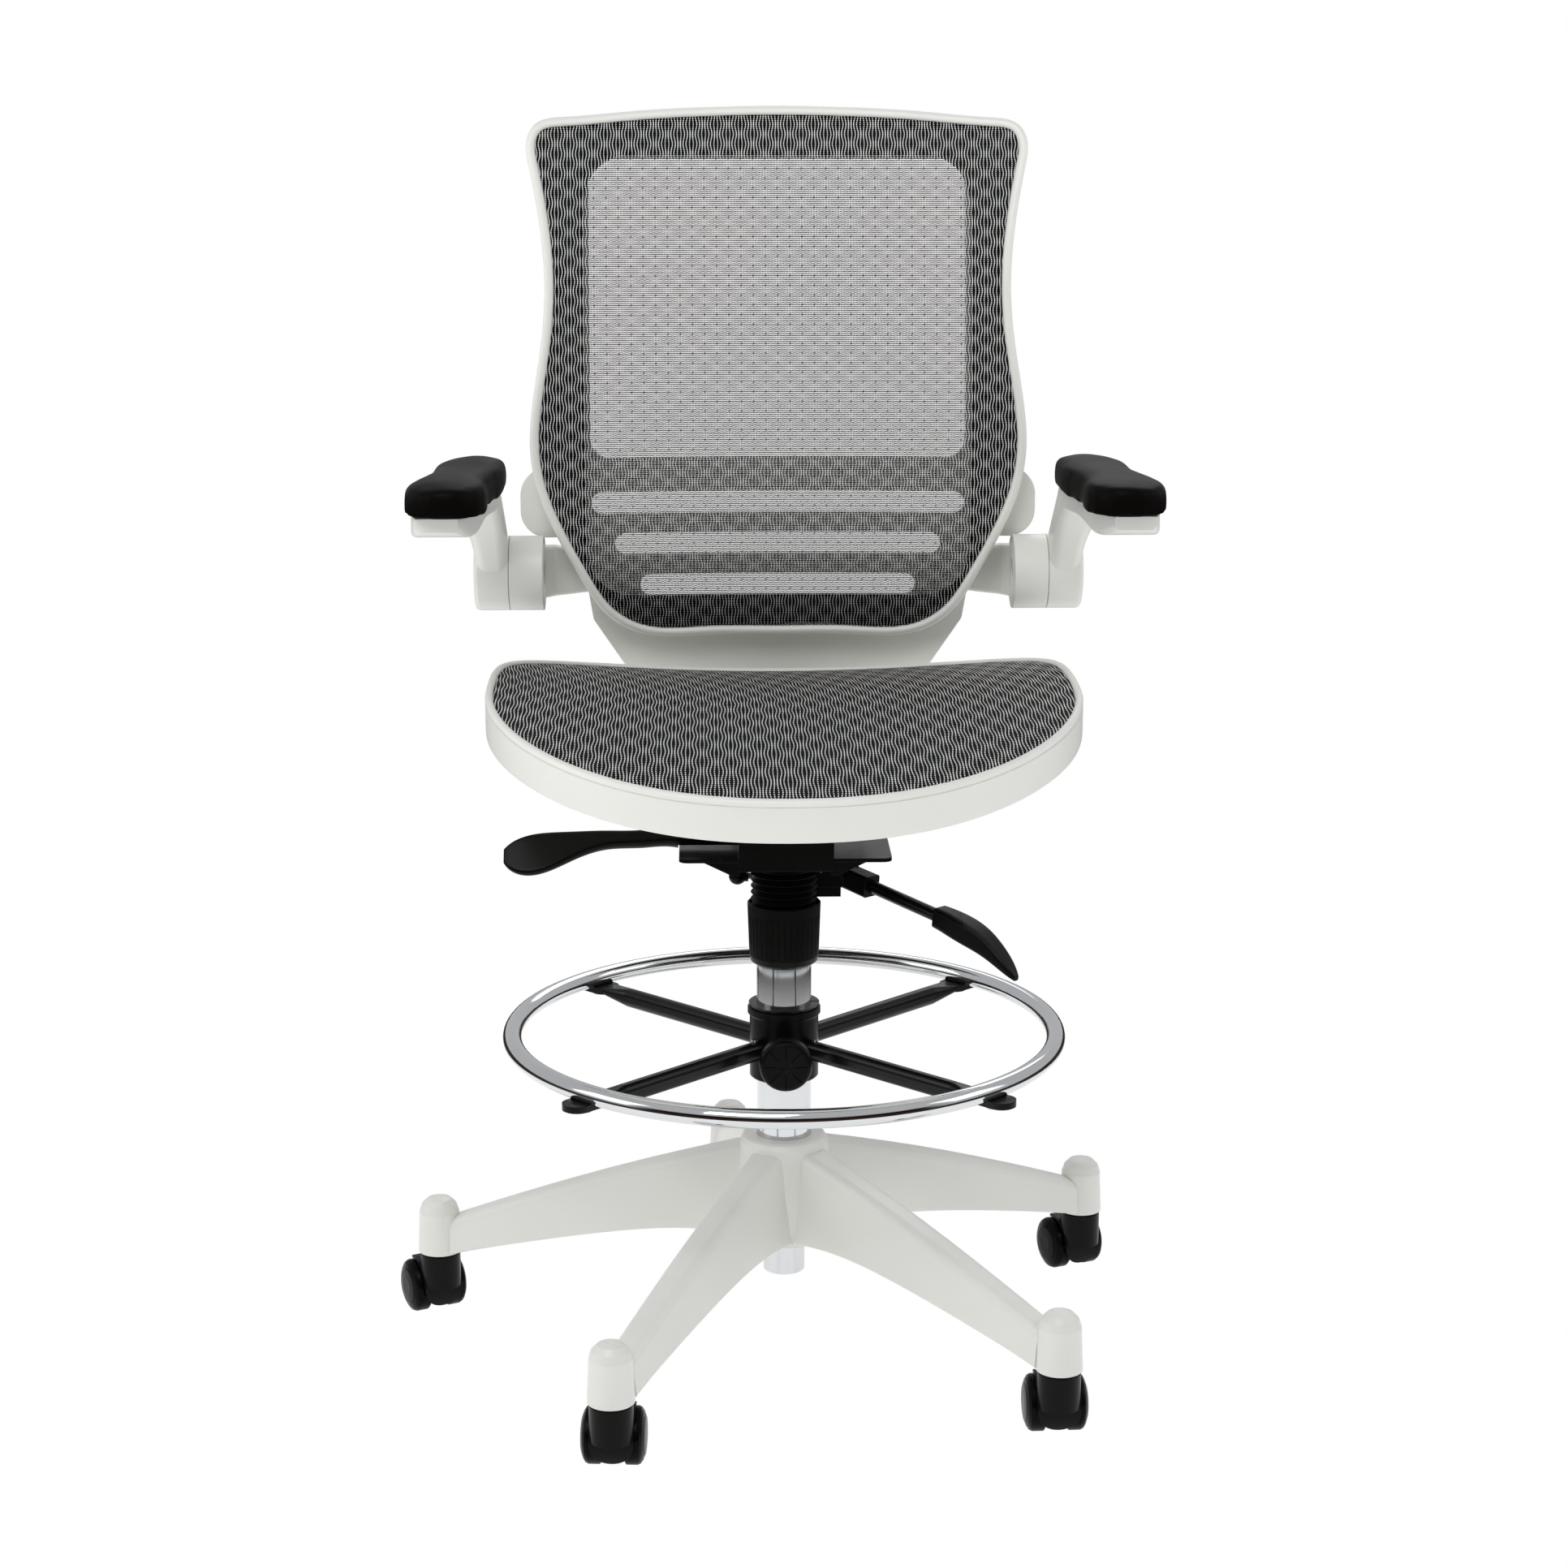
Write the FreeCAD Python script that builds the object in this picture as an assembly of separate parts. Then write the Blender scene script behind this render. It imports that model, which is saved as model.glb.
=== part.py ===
"""Drafting chair: five-star base on twin-wheel casters, gas lift, foot ring, tilting mesh seat and back."""
import FreeCAD, Part
import math
import os

V = FreeCAD.Vector
os.makedirs("parts", exist_ok=True)

# Frame: millimetres, +Z up, the chair faces -Y, origin on the floor under the column.

# ---- overall sizes ----
seat_half_width = 268.0
seat_front = 255.0
seat_rear = 213.0
seat_middle_y = 20.0
seat_height = 604.0
back_half_width = 235.0
back_top_z = 1129.0
back_bottom_z = 629.0
base_reach = 331.3
ring_reach = 249.7

# ---- clearances ----
running_fit = 0.05
free_gap = 0.4
slide_gap = 0.3
seam_gap = 0.1

# ---- casters ----
leg_count = 5
leg_pitch = 360.0 / leg_count
first_leg_angle = -27.6
trail_angles = [85.5, 92.5, 112.5, 100.0, 116.5]
wheel_radius = 25.0
wheel_width = 17.5
wheel_half_gap = 10.5
wheel_trail = 20.0
wheel_dome = 6.0
axle_radius = 3.0
stem_radius = 5.5
stem_foot_z = 40.0
stem_top_z = 104.0
hood_shell = 2.6
hood_web_half = 4.5
hood_cap_radius = 19.0
hood_low_z = 9.0
hood_overhang = 6.0
tread_gap = 1.2
axle_boss_radius = 8.0
axle_short = 5.0
boss_wall = 3.5
boss_floor = 4.0

# ---- gas lift ----
column_radius = 25.0
column_wall = 2.0
column_top_z = 376.0
spigot_radius = column_radius - 5.65
spigot_z = 65.0
cone_low_z = 108.0
cone_high_z = 125.0
column_floor_z = spigot_z + 4.0
bush_length = 100.0
bush_flange = 3.0
cylinder_radius = 14.0
cylinder_low_z = 150.0
cylinder_top_z = 492.0
cylinder_taper_z = 472.0
cylinder_tip_radius = cylinder_radius - 0.6
cylinder_wall = 1.8
chamber_radius = cylinder_radius - cylinder_wall
chamber_cap = 6.0
piston_rod_radius = 5.0
piston_z = 310.0
piston_height = 12.0
rod_shoulder = 4.0
bearing_radius = 14.0
bearing_race = 2.0
ball_radius = 1.8
ball_count = 10
clip_thickness = 1.5
button_radius = 4.0
button_rise = 4.0
button_travel = 3.0
button_bore = 8.0

# ---- star base ----
dome_radius = 20.4
dome_rim_z = 64.5
dome_top_z = 118.0
hub_top_z = 199.0
hub_bottom_z = 102.0
hub_top_radius = column_radius + 14.0
hub_waist_radius = column_radius + 21.0
leg_wall = 3.5
leg_rib = 2.6
# distance from the column, height of the crown, height of the rim, half widths of crown and rim
leg_stations = [
    (0.0725 * base_reach, 193.0, 103.0, 16.0, 30.0),
    (0.2265 * base_reach, 180.0, 108.0, 14.5, 25.0),
    (0.453 * base_reach, 158.0, 101.0, 14.0, 21.5),
    (0.694 * base_reach, 131.5, 86.0, 13.5, 19.0),
    (0.96 * base_reach, 99.0, 66.0, 13.0, 17.5),
]
hub_skirt_flare = 3.0
cavity_margin = 6.0
underside_cut = 8.0

# ---- bellows and its collar ----
bellows_peak = column_radius + 5.5
bellows_valley = column_radius - 0.7
bellows_bore = cylinder_radius + 6.0
bellows_top_z = 469.0
folded_pleats = 12
open_pleats = 8
collar_cup_radius = bellows_peak + 0.9
collar_low_radius = collar_cup_radius + 0.4
collar_top_radius = collar_cup_radius + 2.1
collar_low_z = 363.0
collar_top_z = 421.0
collar_ribs = 36
rib_groove = 0.7

# ---- foot ring ----
ring_tube_radius = 8.5
ring_tube_wall = 1.5
ring_z = 298.0
liner_wall = 3.0
liner_lip = 3.0
liner_slit = 2.0
liner_radius = column_radius + liner_wall
ring_hub_wall = 3.55
ring_hub_radius = liner_radius + running_fit + ring_hub_wall
ring_hub_low_z = 255.0
ring_hub_top_z = 322.0
ring_flange_radius = ring_hub_radius + 1.9
ring_flange_height = 6.0
spoke_count = 4
spoke_z = 286.0
spoke_half_height = 9.0
spoke_half_width = 7.0
saddle_length = 44.0
saddle_half_width = 13.0
saddle_thickness = 6.0
saddle_cradle = 2.0
knob_radius = 24.0
knob_thickness = 17.0
knob_standoff = 20.0
knob_z = 284.0
knob_grooves = 8
clamp_screw_radius = 5.0
clamp_boss_radius = 10.0
ring_screw_radius = 2.5
ring_screw_head = 6.5

# ---- tilt mechanism ----
sheet = 2.5
housing_half_width = 42.0
housing_front = 85.0
housing_rear = 60.0
housing_floor_z = 470.0
housing_top_z = 508.0
tilt_y = -45.0
tilt_z = 505.0
tilt_pin_radius = 5.0
tilt_limit = 15.0
wing_reach = 95.0
wing_front = 60.0
wing_rear = 50.0
wing_z = 472.0
gusset_z = 455.0
socket_boss_radius = cylinder_radius + 6.0
socket_boss_height = 18.0
cup_low_radius = bellows_peak + 3.0
cup_top_radius = cup_low_radius + 8.5
cup_low_z = 447.0
cup_wall = 1.4
rocker_pin_radius = 2.5
tilt_boss_radius = 11.0
lever_y = bellows_peak + 10.5
lever_z = 434.0
lever_shaft_radius = 3.0
lever_bracket_left = 27.0
lever_bracket_right = 54.0
lever_bracket_reach = 7.0
lever_ball_radius = 8.0
lever_ball_collar = 5.0
lever_ball_x = -42.0
lever_rod_radius = 6.0
lever_rod_root = 12.0
lever_block_radius = 11.0
lever_socket_end = V(79, 14, 431)
lever_grip_start = V(141, -52, 418)
# along the grip, droop, half width, half height and corner radius
grip_stations = [
    (-4, 0, 9.0, 9.5, 4), (14, 0.5, 10.5, 10.5, 5), (32, 2, 11.5, 10.5, 5), (50, 5, 11.0, 9.5, 5),
    (67, 11, 9.5, 7.5, 4.5), (82, 19, 7.0, 5.0, 3.5), (91, 25, 3.0, 2.4, 1.5),
]
rocker_y = 36.0
rocker_z = 486.0
rocker_half_width = 5.0
paddle_y = -16.0
paddle_z = 484.0
paddle_shaft_radius = 6.0
# across the chair, drop, half height and half thickness
paddle_stations = [
    (-96, 0.0, 8.0, 7.8), (-128, 0.0, 8.0, 7.2), (-162, 1.0, 8.8, 6.4), (-192, 6.0, 14.0, 5.4),
    (-212, 10.5, 18.6, 4.8), (-231, 13.5, 19.4, 4.2), (-245, 14.5, 14.5, 3.4), (-253, 14.0, 6.5, 2.2),
]
spring_wire = 1.7
spring_turns = 7

# ---- seat ----
seat_crest_y = 60.0
seat_fall = 0.000312
seat_dish = 16.0
front_roundness = 2.35
rear_roundness = 4.5
seat_rim = 7.0
seat_skirt = 36.0
seat_skirt_wall = 5.0
mesh_thickness = 2.4
mesh_drop = 1.2
pan_wall = 3.0
pan_floor_z = 524.0
plate_half_width = 80.0
plate_front = 110.0
plate_rear = 125.0
plate_z = 520.0
plate_thickness = 4.0
plate_window_half = 24.0
tilt_ear = 4.0
# inset from the seat's edge and height of the tray's walls
tray_levels = [(5.4, 604), (14, 575), (32, 551), (60, 535), (105, pan_floor_z)]

# ---- back ----
lumbar_z = 780.0
lumbar_y = 210.0
back_bow = 0.0005
back_wrap = 20.0
back_rim = 8.5
back_rim_front = 4.0
shell_offset = 22.0
shell_thickness = 6.0
carrier_half_width = back_half_width - 52.0
carrier_low_z = 668.0
carrier_high_z = 1084.0
carrier_offset = 5.0
carrier_thickness = 2.5
window_half_width = back_half_width - 56.0
window_corner = 18.0
window_low_z = 800.0
window_high_z = 1080.0
slot_half_widths = [window_half_width, window_half_width - 22.0, window_half_width - 46.0]
slot_centres_z = [757.0, 717.0, 676.5]
slot_height = 21.0
ear_half_width = back_half_width + 11.0
shell_foot_z = 548.0
shell_foot_half_width = back_half_width - 117.0
back_bar_half_width = 45.0
back_bar_thickness = 8.0
back_bar_lap = 32.0
bolt_head_radius = 7.0
bolt_head = 4.0

# ---- arms ----
arm_pivot_y = 202.0
arm_pivot_z = 693.0
arm_disc_radius = 35.5
bracket_inner_x = back_half_width - 11.0
bracket_outer_x = back_half_width + 21.0
arm_disc_thickness = 33.0
arm_pin_radius = 8.0
recess_radius = 12.0
recess_depth = 6.0
pad_thickness = 29.0
pad_base_z = 787.0
pad_front_y = -128.0
pad_rear_y = 122.0
pad_half_width = 38.0
pad_edge_round = 9.0
pad_inner_x = bracket_outer_x + 30.0
pad_outer_x = bracket_outer_x + 34.0


# ---- helpers ----
def turned(profile, centre=V(0, 0, 0)):
    """Solid of revolution about a vertical axis through centre, from (radius, z) points."""
    points = [V(r, 0, z) for r, z in profile]
    face = Part.Face(Part.makePolygon(points + [points[0]]))
    solid = face.revolve(V(0, 0, 0), V(0, 0, 1), 360)
    solid.translate(centre)
    return solid


def box(x0, x1, y0, y1, z0, z1):
    """Box between two corners."""
    return Part.makeBox(x1 - x0, y1 - y0, z1 - z0, V(x0, y0, z0))


def rod(start, end, radius):
    """Round bar from start to end."""
    run = end - start
    return Part.makeCylinder(radius, run.Length, start, run)


def rounded_wire(points, radii):
    """Closed flat wire through points, with a round of the given radius at each corner."""
    count = len(points)
    rounds = []
    for i, corner in enumerate(points):
        to_last = (points[i - 1] - corner).normalize()
        to_next = (points[(i + 1) % count] - corner).normalize()
        half = to_last.getAngle(to_next) / 2
        back_off = radii[i] / math.tan(half)
        middle = (to_last + to_next).normalize()
        centre = corner + middle * (radii[i] / math.sin(half))
        rounds.append((corner + to_last * back_off, centre - middle * radii[i], corner + to_next * back_off))
    edges = []
    for i, (arrive, top, leave) in enumerate(rounds):
        edges.append(Part.Arc(arrive, top, leave).toShape())
        edges.append(Part.LineSegment(leave, rounds[(i + 1) % count][0]).toShape())
    return Part.Wire(edges)


def prism(points, radii, run):
    """Straight solid of a rounded outline."""
    return Part.Face(rounded_wire(points, radii)).extrude(run)


def joined(shapes):
    """One solid from touching or crossing shapes."""
    whole = shapes[0]
    for shape in shapes[1:]:
        whole = whole.fuse(shape)
    return whole.removeSplitter()


def bowed_slab(height, u_span, v_span, place, thickness):
    """Solid of even thickness on a surface that is quadratic in u and v."""
    us = [u_span[0], sum(u_span) / 2, u_span[1]]
    vs = [v_span[0], sum(v_span) / 2, v_span[1]]
    blend = [[1, 0, 0], [-0.5, 2, -0.5], [0, 0, 1]]
    surface = Part.BezierSurface()
    surface.increase(2, 2)
    for i in range(3):
        for j in range(3):
            w = sum(blend[i][a] * blend[j][b] * height(us[a], vs[b]) for a in range(3) for b in range(3))
            surface.setPole(i + 1, j + 1, place(us[i], vs[j], w))
    return surface.toShape().extrude(thickness)


def smooth_outline(points):
    """Closed smooth wire through points."""
    curve = Part.BSplineCurve()
    curve.interpolate(points, PeriodicFlag=True)
    return Part.Wire(curve.toShape())


def mirrored(shape):
    """The same piece on the other side of the chair."""
    return shape.mirror(V(0, 0, 0), V(1, 0, 0))


def leg_direction(index):
    """Unit vector along a base leg."""
    angle = math.radians(first_leg_angle + leg_pitch * index)
    return V(math.sin(angle), -math.cos(angle), 0)


def stem_centre(index):
    """Foot of a caster stem's axis."""
    return leg_direction(index) * base_reach


# ---- star base ----
def leg_size(reach):
    """Crown height, rim height and half widths of a leg at a distance from the column."""
    for low, high in zip(leg_stations, leg_stations[1:]):
        if reach <= high[0]:
            share = (reach - low[0]) / (high[0] - low[0])
            return [a + (b - a) * share for a, b in zip(low[1:], high[1:])]
    return list(leg_stations[-1][1:])


def leg_section(reach, wall, drop):
    """Cross-section of a leg: round crown, sloping sides."""
    crown, rim, half_crown, half_rim = leg_size(reach)
    half_crown -= wall
    half_rim -= wall
    crown -= wall
    slope = (half_rim - half_crown) / (crown - rim)
    rim -= drop
    half_rim += slope * drop
    points = [
        V(reach, -half_rim, rim), V(reach, -half_crown, crown),
        V(reach, half_crown, crown), V(reach, half_rim, rim),
    ]
    return rounded_wire(points, [1.5, 9.0, 9.0, 1.5])


def make_leg():
    """One leg along +X and the hollow under it, with its ribs."""
    solid = Part.makeLoft([leg_section(s[0], 0, 0) for s in leg_stations], True, False)
    cavity_start = hub_waist_radius + cavity_margin
    cavity_end = base_reach - dome_radius - cavity_margin - 2
    stops = [cavity_start + (cavity_end - cavity_start) * i / 4 for i in range(5)]
    hollow = Part.makeLoft([leg_section(r, leg_wall, underside_cut) for r in stops], True, False)
    ribs = [box(cavity_start - 3, cavity_end + 3, -leg_rib / 2, leg_rib / 2, hub_bottom_z - 45, hub_top_z)]
    for reach in stops[1:4]:
        ribs.append(box(reach, reach + leg_rib, -30, 30, dome_rim_z - 5, hub_top_z))
    for rib in ribs:
        hollow = hollow.cut(rib)
    return solid, hollow


def make_star_base():
    """Hub, five ribbed legs and a dome over each caster socket, moulded in one."""
    hub = turned([
        (0, hub_bottom_z), (hub_waist_radius, hub_bottom_z),
        (hub_waist_radius + hub_skirt_flare, hub_bottom_z + 12), (hub_waist_radius, hub_top_z - 49),
        (hub_top_radius + 1.5, hub_top_z - 6), (hub_top_radius - 1, hub_top_z - 1.5),
        (hub_top_radius - 4, hub_top_z), (0, hub_top_z),
    ])
    leg, hollow = make_leg()
    pieces = [hub]
    hollows = []
    for i in range(leg_count):
        turn = first_leg_angle - 90 + leg_pitch * i
        pieces.append(leg.rotated(V(0, 0, 0), V(0, 0, 1), turn))
        hollows.append(hollow.rotated(V(0, 0, 0), V(0, 0, 1), turn))
    base = joined(pieces)
    base = base.cut(Part.makeCompound(hollows))
    domes = []
    for i in range(leg_count):
        profile = [
            (0, dome_rim_z), (dome_radius, dome_rim_z), (dome_radius, dome_rim_z + 3),
            (dome_radius - 0.8, dome_rim_z + 20), (dome_radius - 1.6, dome_top_z - 14),
            (dome_radius - 4, dome_top_z - 7), (dome_radius - 9, dome_top_z - 2),
            (dome_radius - 15, dome_top_z), (0, dome_top_z),
        ]
        domes.append(turned(profile, stem_centre(i)))
    base = joined([base] + domes)
    socket = turned([
        (0, spigot_z), (spigot_radius + running_fit, spigot_z), (spigot_radius + running_fit, cone_low_z),
        (column_radius + running_fit, cone_high_z), (column_radius + running_fit, hub_top_z + 1),
        (0, hub_top_z + 1),
    ])
    base = base.cut(socket)
    for i in range(leg_count):
        foot = stem_centre(i) + V(0, 0, dome_rim_z - 1)
        base = base.cut(Part.makeCylinder(stem_radius, stem_top_z - dome_rim_z + 1, foot))
    return base


# ---- casters ----
def make_caster():
    """Hood with its axle, and one wheel, about a stem at the origin with the wheel behind it along +X."""
    hub = V(wheel_trail, 0, wheel_radius)
    across = V(0, 1, 0)
    inner = wheel_radius + tread_gap
    outer = inner + hood_shell
    cap_top = dome_rim_z - slide_gap
    fender = Part.makeCylinder(outer, 2 * hood_cap_radius, hub - across * hood_cap_radius, across)
    keep_rear = wheel_trail + hood_overhang
    fender = fender.common(box(-outer, keep_rear, -hood_cap_radius, hood_cap_radius, hood_low_z, dome_rim_z))
    apron_z = hood_low_z + hood_cap_radius
    apron = Part.makeCylinder(hood_cap_radius, 3 * outer, V(-outer, 0, apron_z), V(1, 0, 0))
    apron = apron.fuse(box(-outer, 2 * outer, -hood_cap_radius, hood_cap_radius, apron_z, dome_rim_z))
    fender = fender.common(apron)
    cap = turned([
        (0, 30), (hood_cap_radius, 30), (hood_cap_radius, cap_top - 2), (hood_cap_radius - 2, cap_top),
        (0, cap_top),
    ])
    hood = joined([fender, cap])
    web_edge = wheel_half_gap - free_gap
    for side in (-1, 1):
        out = across * side
        hood = hood.cut(Part.makeCylinder(inner, wheel_width * 2, hub + out * web_edge, out))
        hood = hood.cut(Part.makeCylinder(inner - 4, wheel_width * 2, hub + out * hood_web_half, out))
    hood = hood.fuse(Part.makeCylinder(axle_boss_radius, 2 * web_edge, hub - across * web_edge, across))
    boss_foot = stem_foot_z - boss_floor
    boss = Part.makeCylinder(stem_radius + boss_wall, cap_top - boss_foot, V(0, 0, boss_foot))
    hood = joined([hood, boss])
    hood = hood.cut(Part.makeCylinder(stem_radius + running_fit, cap_top, V(0, 0, stem_foot_z - slide_gap)))
    axle_half = wheel_half_gap + wheel_width - axle_short
    axle = Part.makeCylinder(axle_radius, 2 * axle_half, hub - across * axle_half, across)
    hood = hood.cut(axle)
    face = wheel_half_gap + wheel_width
    profile = [
        (axle_radius + running_fit, wheel_half_gap), (wheel_radius - 1, wheel_half_gap),
        (wheel_radius, wheel_half_gap + 1), (wheel_radius, face - wheel_dome - 1),
        (wheel_radius - 1.2, face - wheel_dome + 1.5), (wheel_radius - 4, face - 2.6),
        (wheel_radius - 9, face - 0.7), (wheel_radius - 16, face), (0, face),
        (0, axle_half + slide_gap), (axle_radius + running_fit, axle_half + slide_gap),
    ]
    wheel = turned(profile)
    wheel.rotate(V(0, 0, 0), V(1, 0, 0), -90)
    wheel.translate(hub)
    return hood, axle, wheel


def place_caster(shape, index):
    """Copy of a caster piece, trailing its own way under its leg."""
    copy = shape.rotated(V(0, 0, 0), V(0, 0, 1), trail_angles[index])
    copy.translate(stem_centre(index))
    return copy


def make_stems():
    """Steel stems pressed up into the base's sockets."""
    top = stem_top_z
    profile = [
        (0, stem_foot_z), (stem_radius, stem_foot_z), (stem_radius, top - 1.5), (stem_radius - 1.5, top),
        (0, top),
    ]
    return Part.makeCompound([turned(profile, stem_centre(i)) for i in range(leg_count)])


# ---- gas lift ----
def make_column_tube():
    """Chrome outer tube with a narrow spigot and a floor that carries the thrust bearing."""
    inner = column_radius - column_wall
    spigot_inner = spigot_radius - column_wall
    rod_hole = piston_rod_radius + slide_gap
    return turned([
        (rod_hole, spigot_z), (spigot_radius - 1, spigot_z), (spigot_radius, spigot_z + 1),
        (spigot_radius, cone_low_z), (column_radius, cone_high_z), (column_radius, column_top_z),
        (inner, column_top_z), (inner, cone_high_z + 1), (spigot_inner, cone_low_z + 1),
        (spigot_inner, column_floor_z), (rod_hole, column_floor_z),
    ])


def make_guide_bush():
    """Plastic bush that guides the gas cylinder in the tube's mouth."""
    inner = column_radius - column_wall
    bore = cylinder_radius + running_fit
    low = column_top_z - bush_length
    top = column_top_z + bush_flange
    return turned([
        (bore, low), (inner, low), (inner, column_top_z), (column_radius, column_top_z),
        (column_radius, top), (bore, top),
    ])


def make_collar():
    """Ribbed cup on the tube's top that takes the folded bellows."""
    top = column_top_z + bush_flange
    shoulder_z = collar_low_z + 8
    collar = turned([
        (column_radius, collar_low_z), (collar_low_radius - 5, collar_low_z),
        (collar_low_radius - 1.2, collar_low_z + 3), (collar_low_radius, shoulder_z),
        (collar_top_radius, collar_top_z - 1), (collar_top_radius - 1, collar_top_z),
        (collar_cup_radius, collar_top_z), (collar_cup_radius, top), (column_radius, top),
    ])
    groove = Part.makeCylinder(rib_groove, collar_top_z - shoulder_z - 12, V(0, 0, shoulder_z + 2))
    flare = (collar_top_radius - collar_low_radius) / (collar_top_z - 1 - shoulder_z)
    groove.rotate(V(0, 0, shoulder_z), V(0, 1, 0), math.degrees(math.atan(flare)))
    groove.translate(V(collar_low_radius + 0.25, 0, 0))
    grooves = []
    for i in range(collar_ribs):
        grooves.append(groove.rotated(V(0, 0, 0), V(0, 0, 1), 360 / collar_ribs * i))
    return collar.cut(Part.makeCompound(grooves))


def make_thrust_bearing():
    """Lower race and balls on the tube's floor."""
    floor = column_floor_z
    bore = piston_rod_radius + slide_gap
    race_top = floor + bearing_race
    pieces = [turned([(bore, floor), (bearing_radius, floor), (bearing_radius, race_top), (bore, race_top)])]
    track = (piston_rod_radius + bearing_radius) / 2
    for i in range(ball_count):
        angle = math.radians(360 / ball_count * i)
        centre = V(track * math.cos(angle), track * math.sin(angle), race_top + ball_radius + 0.01)
        pieces.append(Part.makeSphere(ball_radius, centre))
    return Part.makeCompound(pieces)


def make_piston_rod():
    """Piston rod with its piston, upper race, shoulder and the clip under the tube's floor."""
    race_low = column_floor_z + bearing_race + 2 * ball_radius + slide_gap
    race_top = race_low + bearing_race
    shoulder_top = race_top + rod_shoulder
    piston_top = piston_z + piston_height
    r = piston_rod_radius
    piston = chamber_radius - running_fit
    rod_solid = turned([
        (0, spigot_z - 5), (r, spigot_z - 5), (r, race_top), (r + 3, race_top), (r + 3, shoulder_top),
        (r, shoulder_top), (r, piston_z), (piston, piston_z), (piston, piston_top), (0, piston_top),
    ])
    race = turned([(r, race_low), (bearing_radius, race_low), (bearing_radius, race_top), (r, race_top)])
    clip_top = spigot_z - slide_gap
    clip_low = clip_top - clip_thickness
    clip = turned([(r, clip_low), (r + 4, clip_low), (r + 4, clip_top), (r, clip_top)])
    return Part.makeCompound([rod_solid, race, clip])


def make_gas_cylinder():
    """Pressure tube with a tapered top that seats in the mechanism."""
    rod_hole = piston_rod_radius + running_fit
    low = cylinder_low_z
    top = cylinder_top_z
    valve = button_radius + running_fit
    bore_floor = top - button_bore
    chamber_top = bore_floor - 12
    return turned([
        (rod_hole, low), (cylinder_radius, low), (cylinder_radius, cylinder_taper_z),
        (cylinder_tip_radius, top), (valve, top), (valve, bore_floor), (0, bore_floor), (0, chamber_top),
        (chamber_radius, chamber_top),
        (chamber_radius, low + chamber_cap), (rod_hole, low + chamber_cap),
    ])


def make_valve_button():
    """Release button in the cylinder's top."""
    low = cylinder_top_z - button_bore + button_travel + slide_gap
    top = cylinder_top_z + button_rise
    wide = button_radius
    return turned([(0, low), (wide, low), (wide, top - 1), (wide - 1, top), (0, top)])


def make_bellows():
    """Pleated rubber sleeve: folded pleats down in the collar, open pleats above it."""
    start = column_top_z + bush_flange + slide_gap
    outline = [(bellows_bore, start), (bellows_valley, start)]
    stretches = ((folded_pleats, start, collar_top_z), (open_pleats, collar_top_z, bellows_top_z))
    for count, low, high in stretches:
        pitch = (high - low) / count
        for i in range(count):
            outline.append((bellows_peak, low + pitch * (i + 0.5)))
            outline.append((bellows_valley, low + pitch * (i + 1)))
    outline.append((bellows_bore, bellows_top_z))
    return turned(outline)


# ---- foot ring ----
def spoke_turns():
    """Angles of the four spokes."""
    return [45 + 360 / spoke_count * i for i in range(spoke_count)]


def make_foot_ring():
    """Chromed tube bent into a full ring."""
    tube = Part.makeTorus(ring_reach, ring_tube_radius, V(0, 0, ring_z))
    return tube.cut(Part.makeTorus(ring_reach, ring_tube_radius - ring_tube_wall, V(0, 0, ring_z)))


def spoke_section(reach, half_width, half_height, middle_z, radius):
    """Rounded rectangle across a spoke."""
    corners = [(-1, -1), (1, -1), (1, 1), (-1, 1)]
    points = [V(reach, a * half_width, middle_z + b * half_height) for a, b in corners]
    return rounded_wire(points, [radius] * 4)


def make_spokes():
    """Oval steel tubes with flattened ends that cradle the ring."""
    under_ring = ring_z - ring_tube_radius + saddle_cradle
    low = under_ring - saddle_thickness
    first = ring_reach - saddle_length / 2
    last = ring_reach + saddle_length / 2
    root = ring_hub_radius - 2
    neck = first - 22
    wall = ring_tube_wall
    start = spoke_section(neck, spoke_half_width, spoke_half_height, spoke_z, 6.5)
    end = spoke_section(first + 6, saddle_half_width - 2, saddle_thickness / 2, low + saddle_thickness / 2, 2.4)
    outside = spoke_section(root, spoke_half_width, spoke_half_height, spoke_z, 6.5)
    inside = spoke_section(root - 1, spoke_half_width - wall, spoke_half_height - wall, spoke_z, 5)
    tube = Part.Face(outside).extrude(V(neck - root, 0, 0))
    bore = Part.Face(inside).extrude(V(neck - root, 0, 0))
    saddle = prism(
        [V(first, -saddle_half_width, low), V(last, -saddle_half_width, low),
         V(last, saddle_half_width, low), V(first, saddle_half_width, low)],
        [saddle_half_width - 1] * 4, V(0, 0, saddle_thickness))
    spoke = joined([tube, Part.makeLoft([start, end], True, True), saddle]).cut(bore)
    spoke = spoke.cut(Part.makeCylinder(ring_screw_radius, 30, V(ring_reach, 0, low - 10)))
    ring = Part.makeTorus(ring_reach, ring_tube_radius, V(0, 0, ring_z))
    spoke = spoke.cut(ring).cut(Part.makeCylinder(ring_hub_radius, 200, V(0, 0, 200)))
    return Part.makeCompound([spoke.rotated(V(0, 0, 0), V(0, 0, 1), turn) for turn in spoke_turns()])


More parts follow.
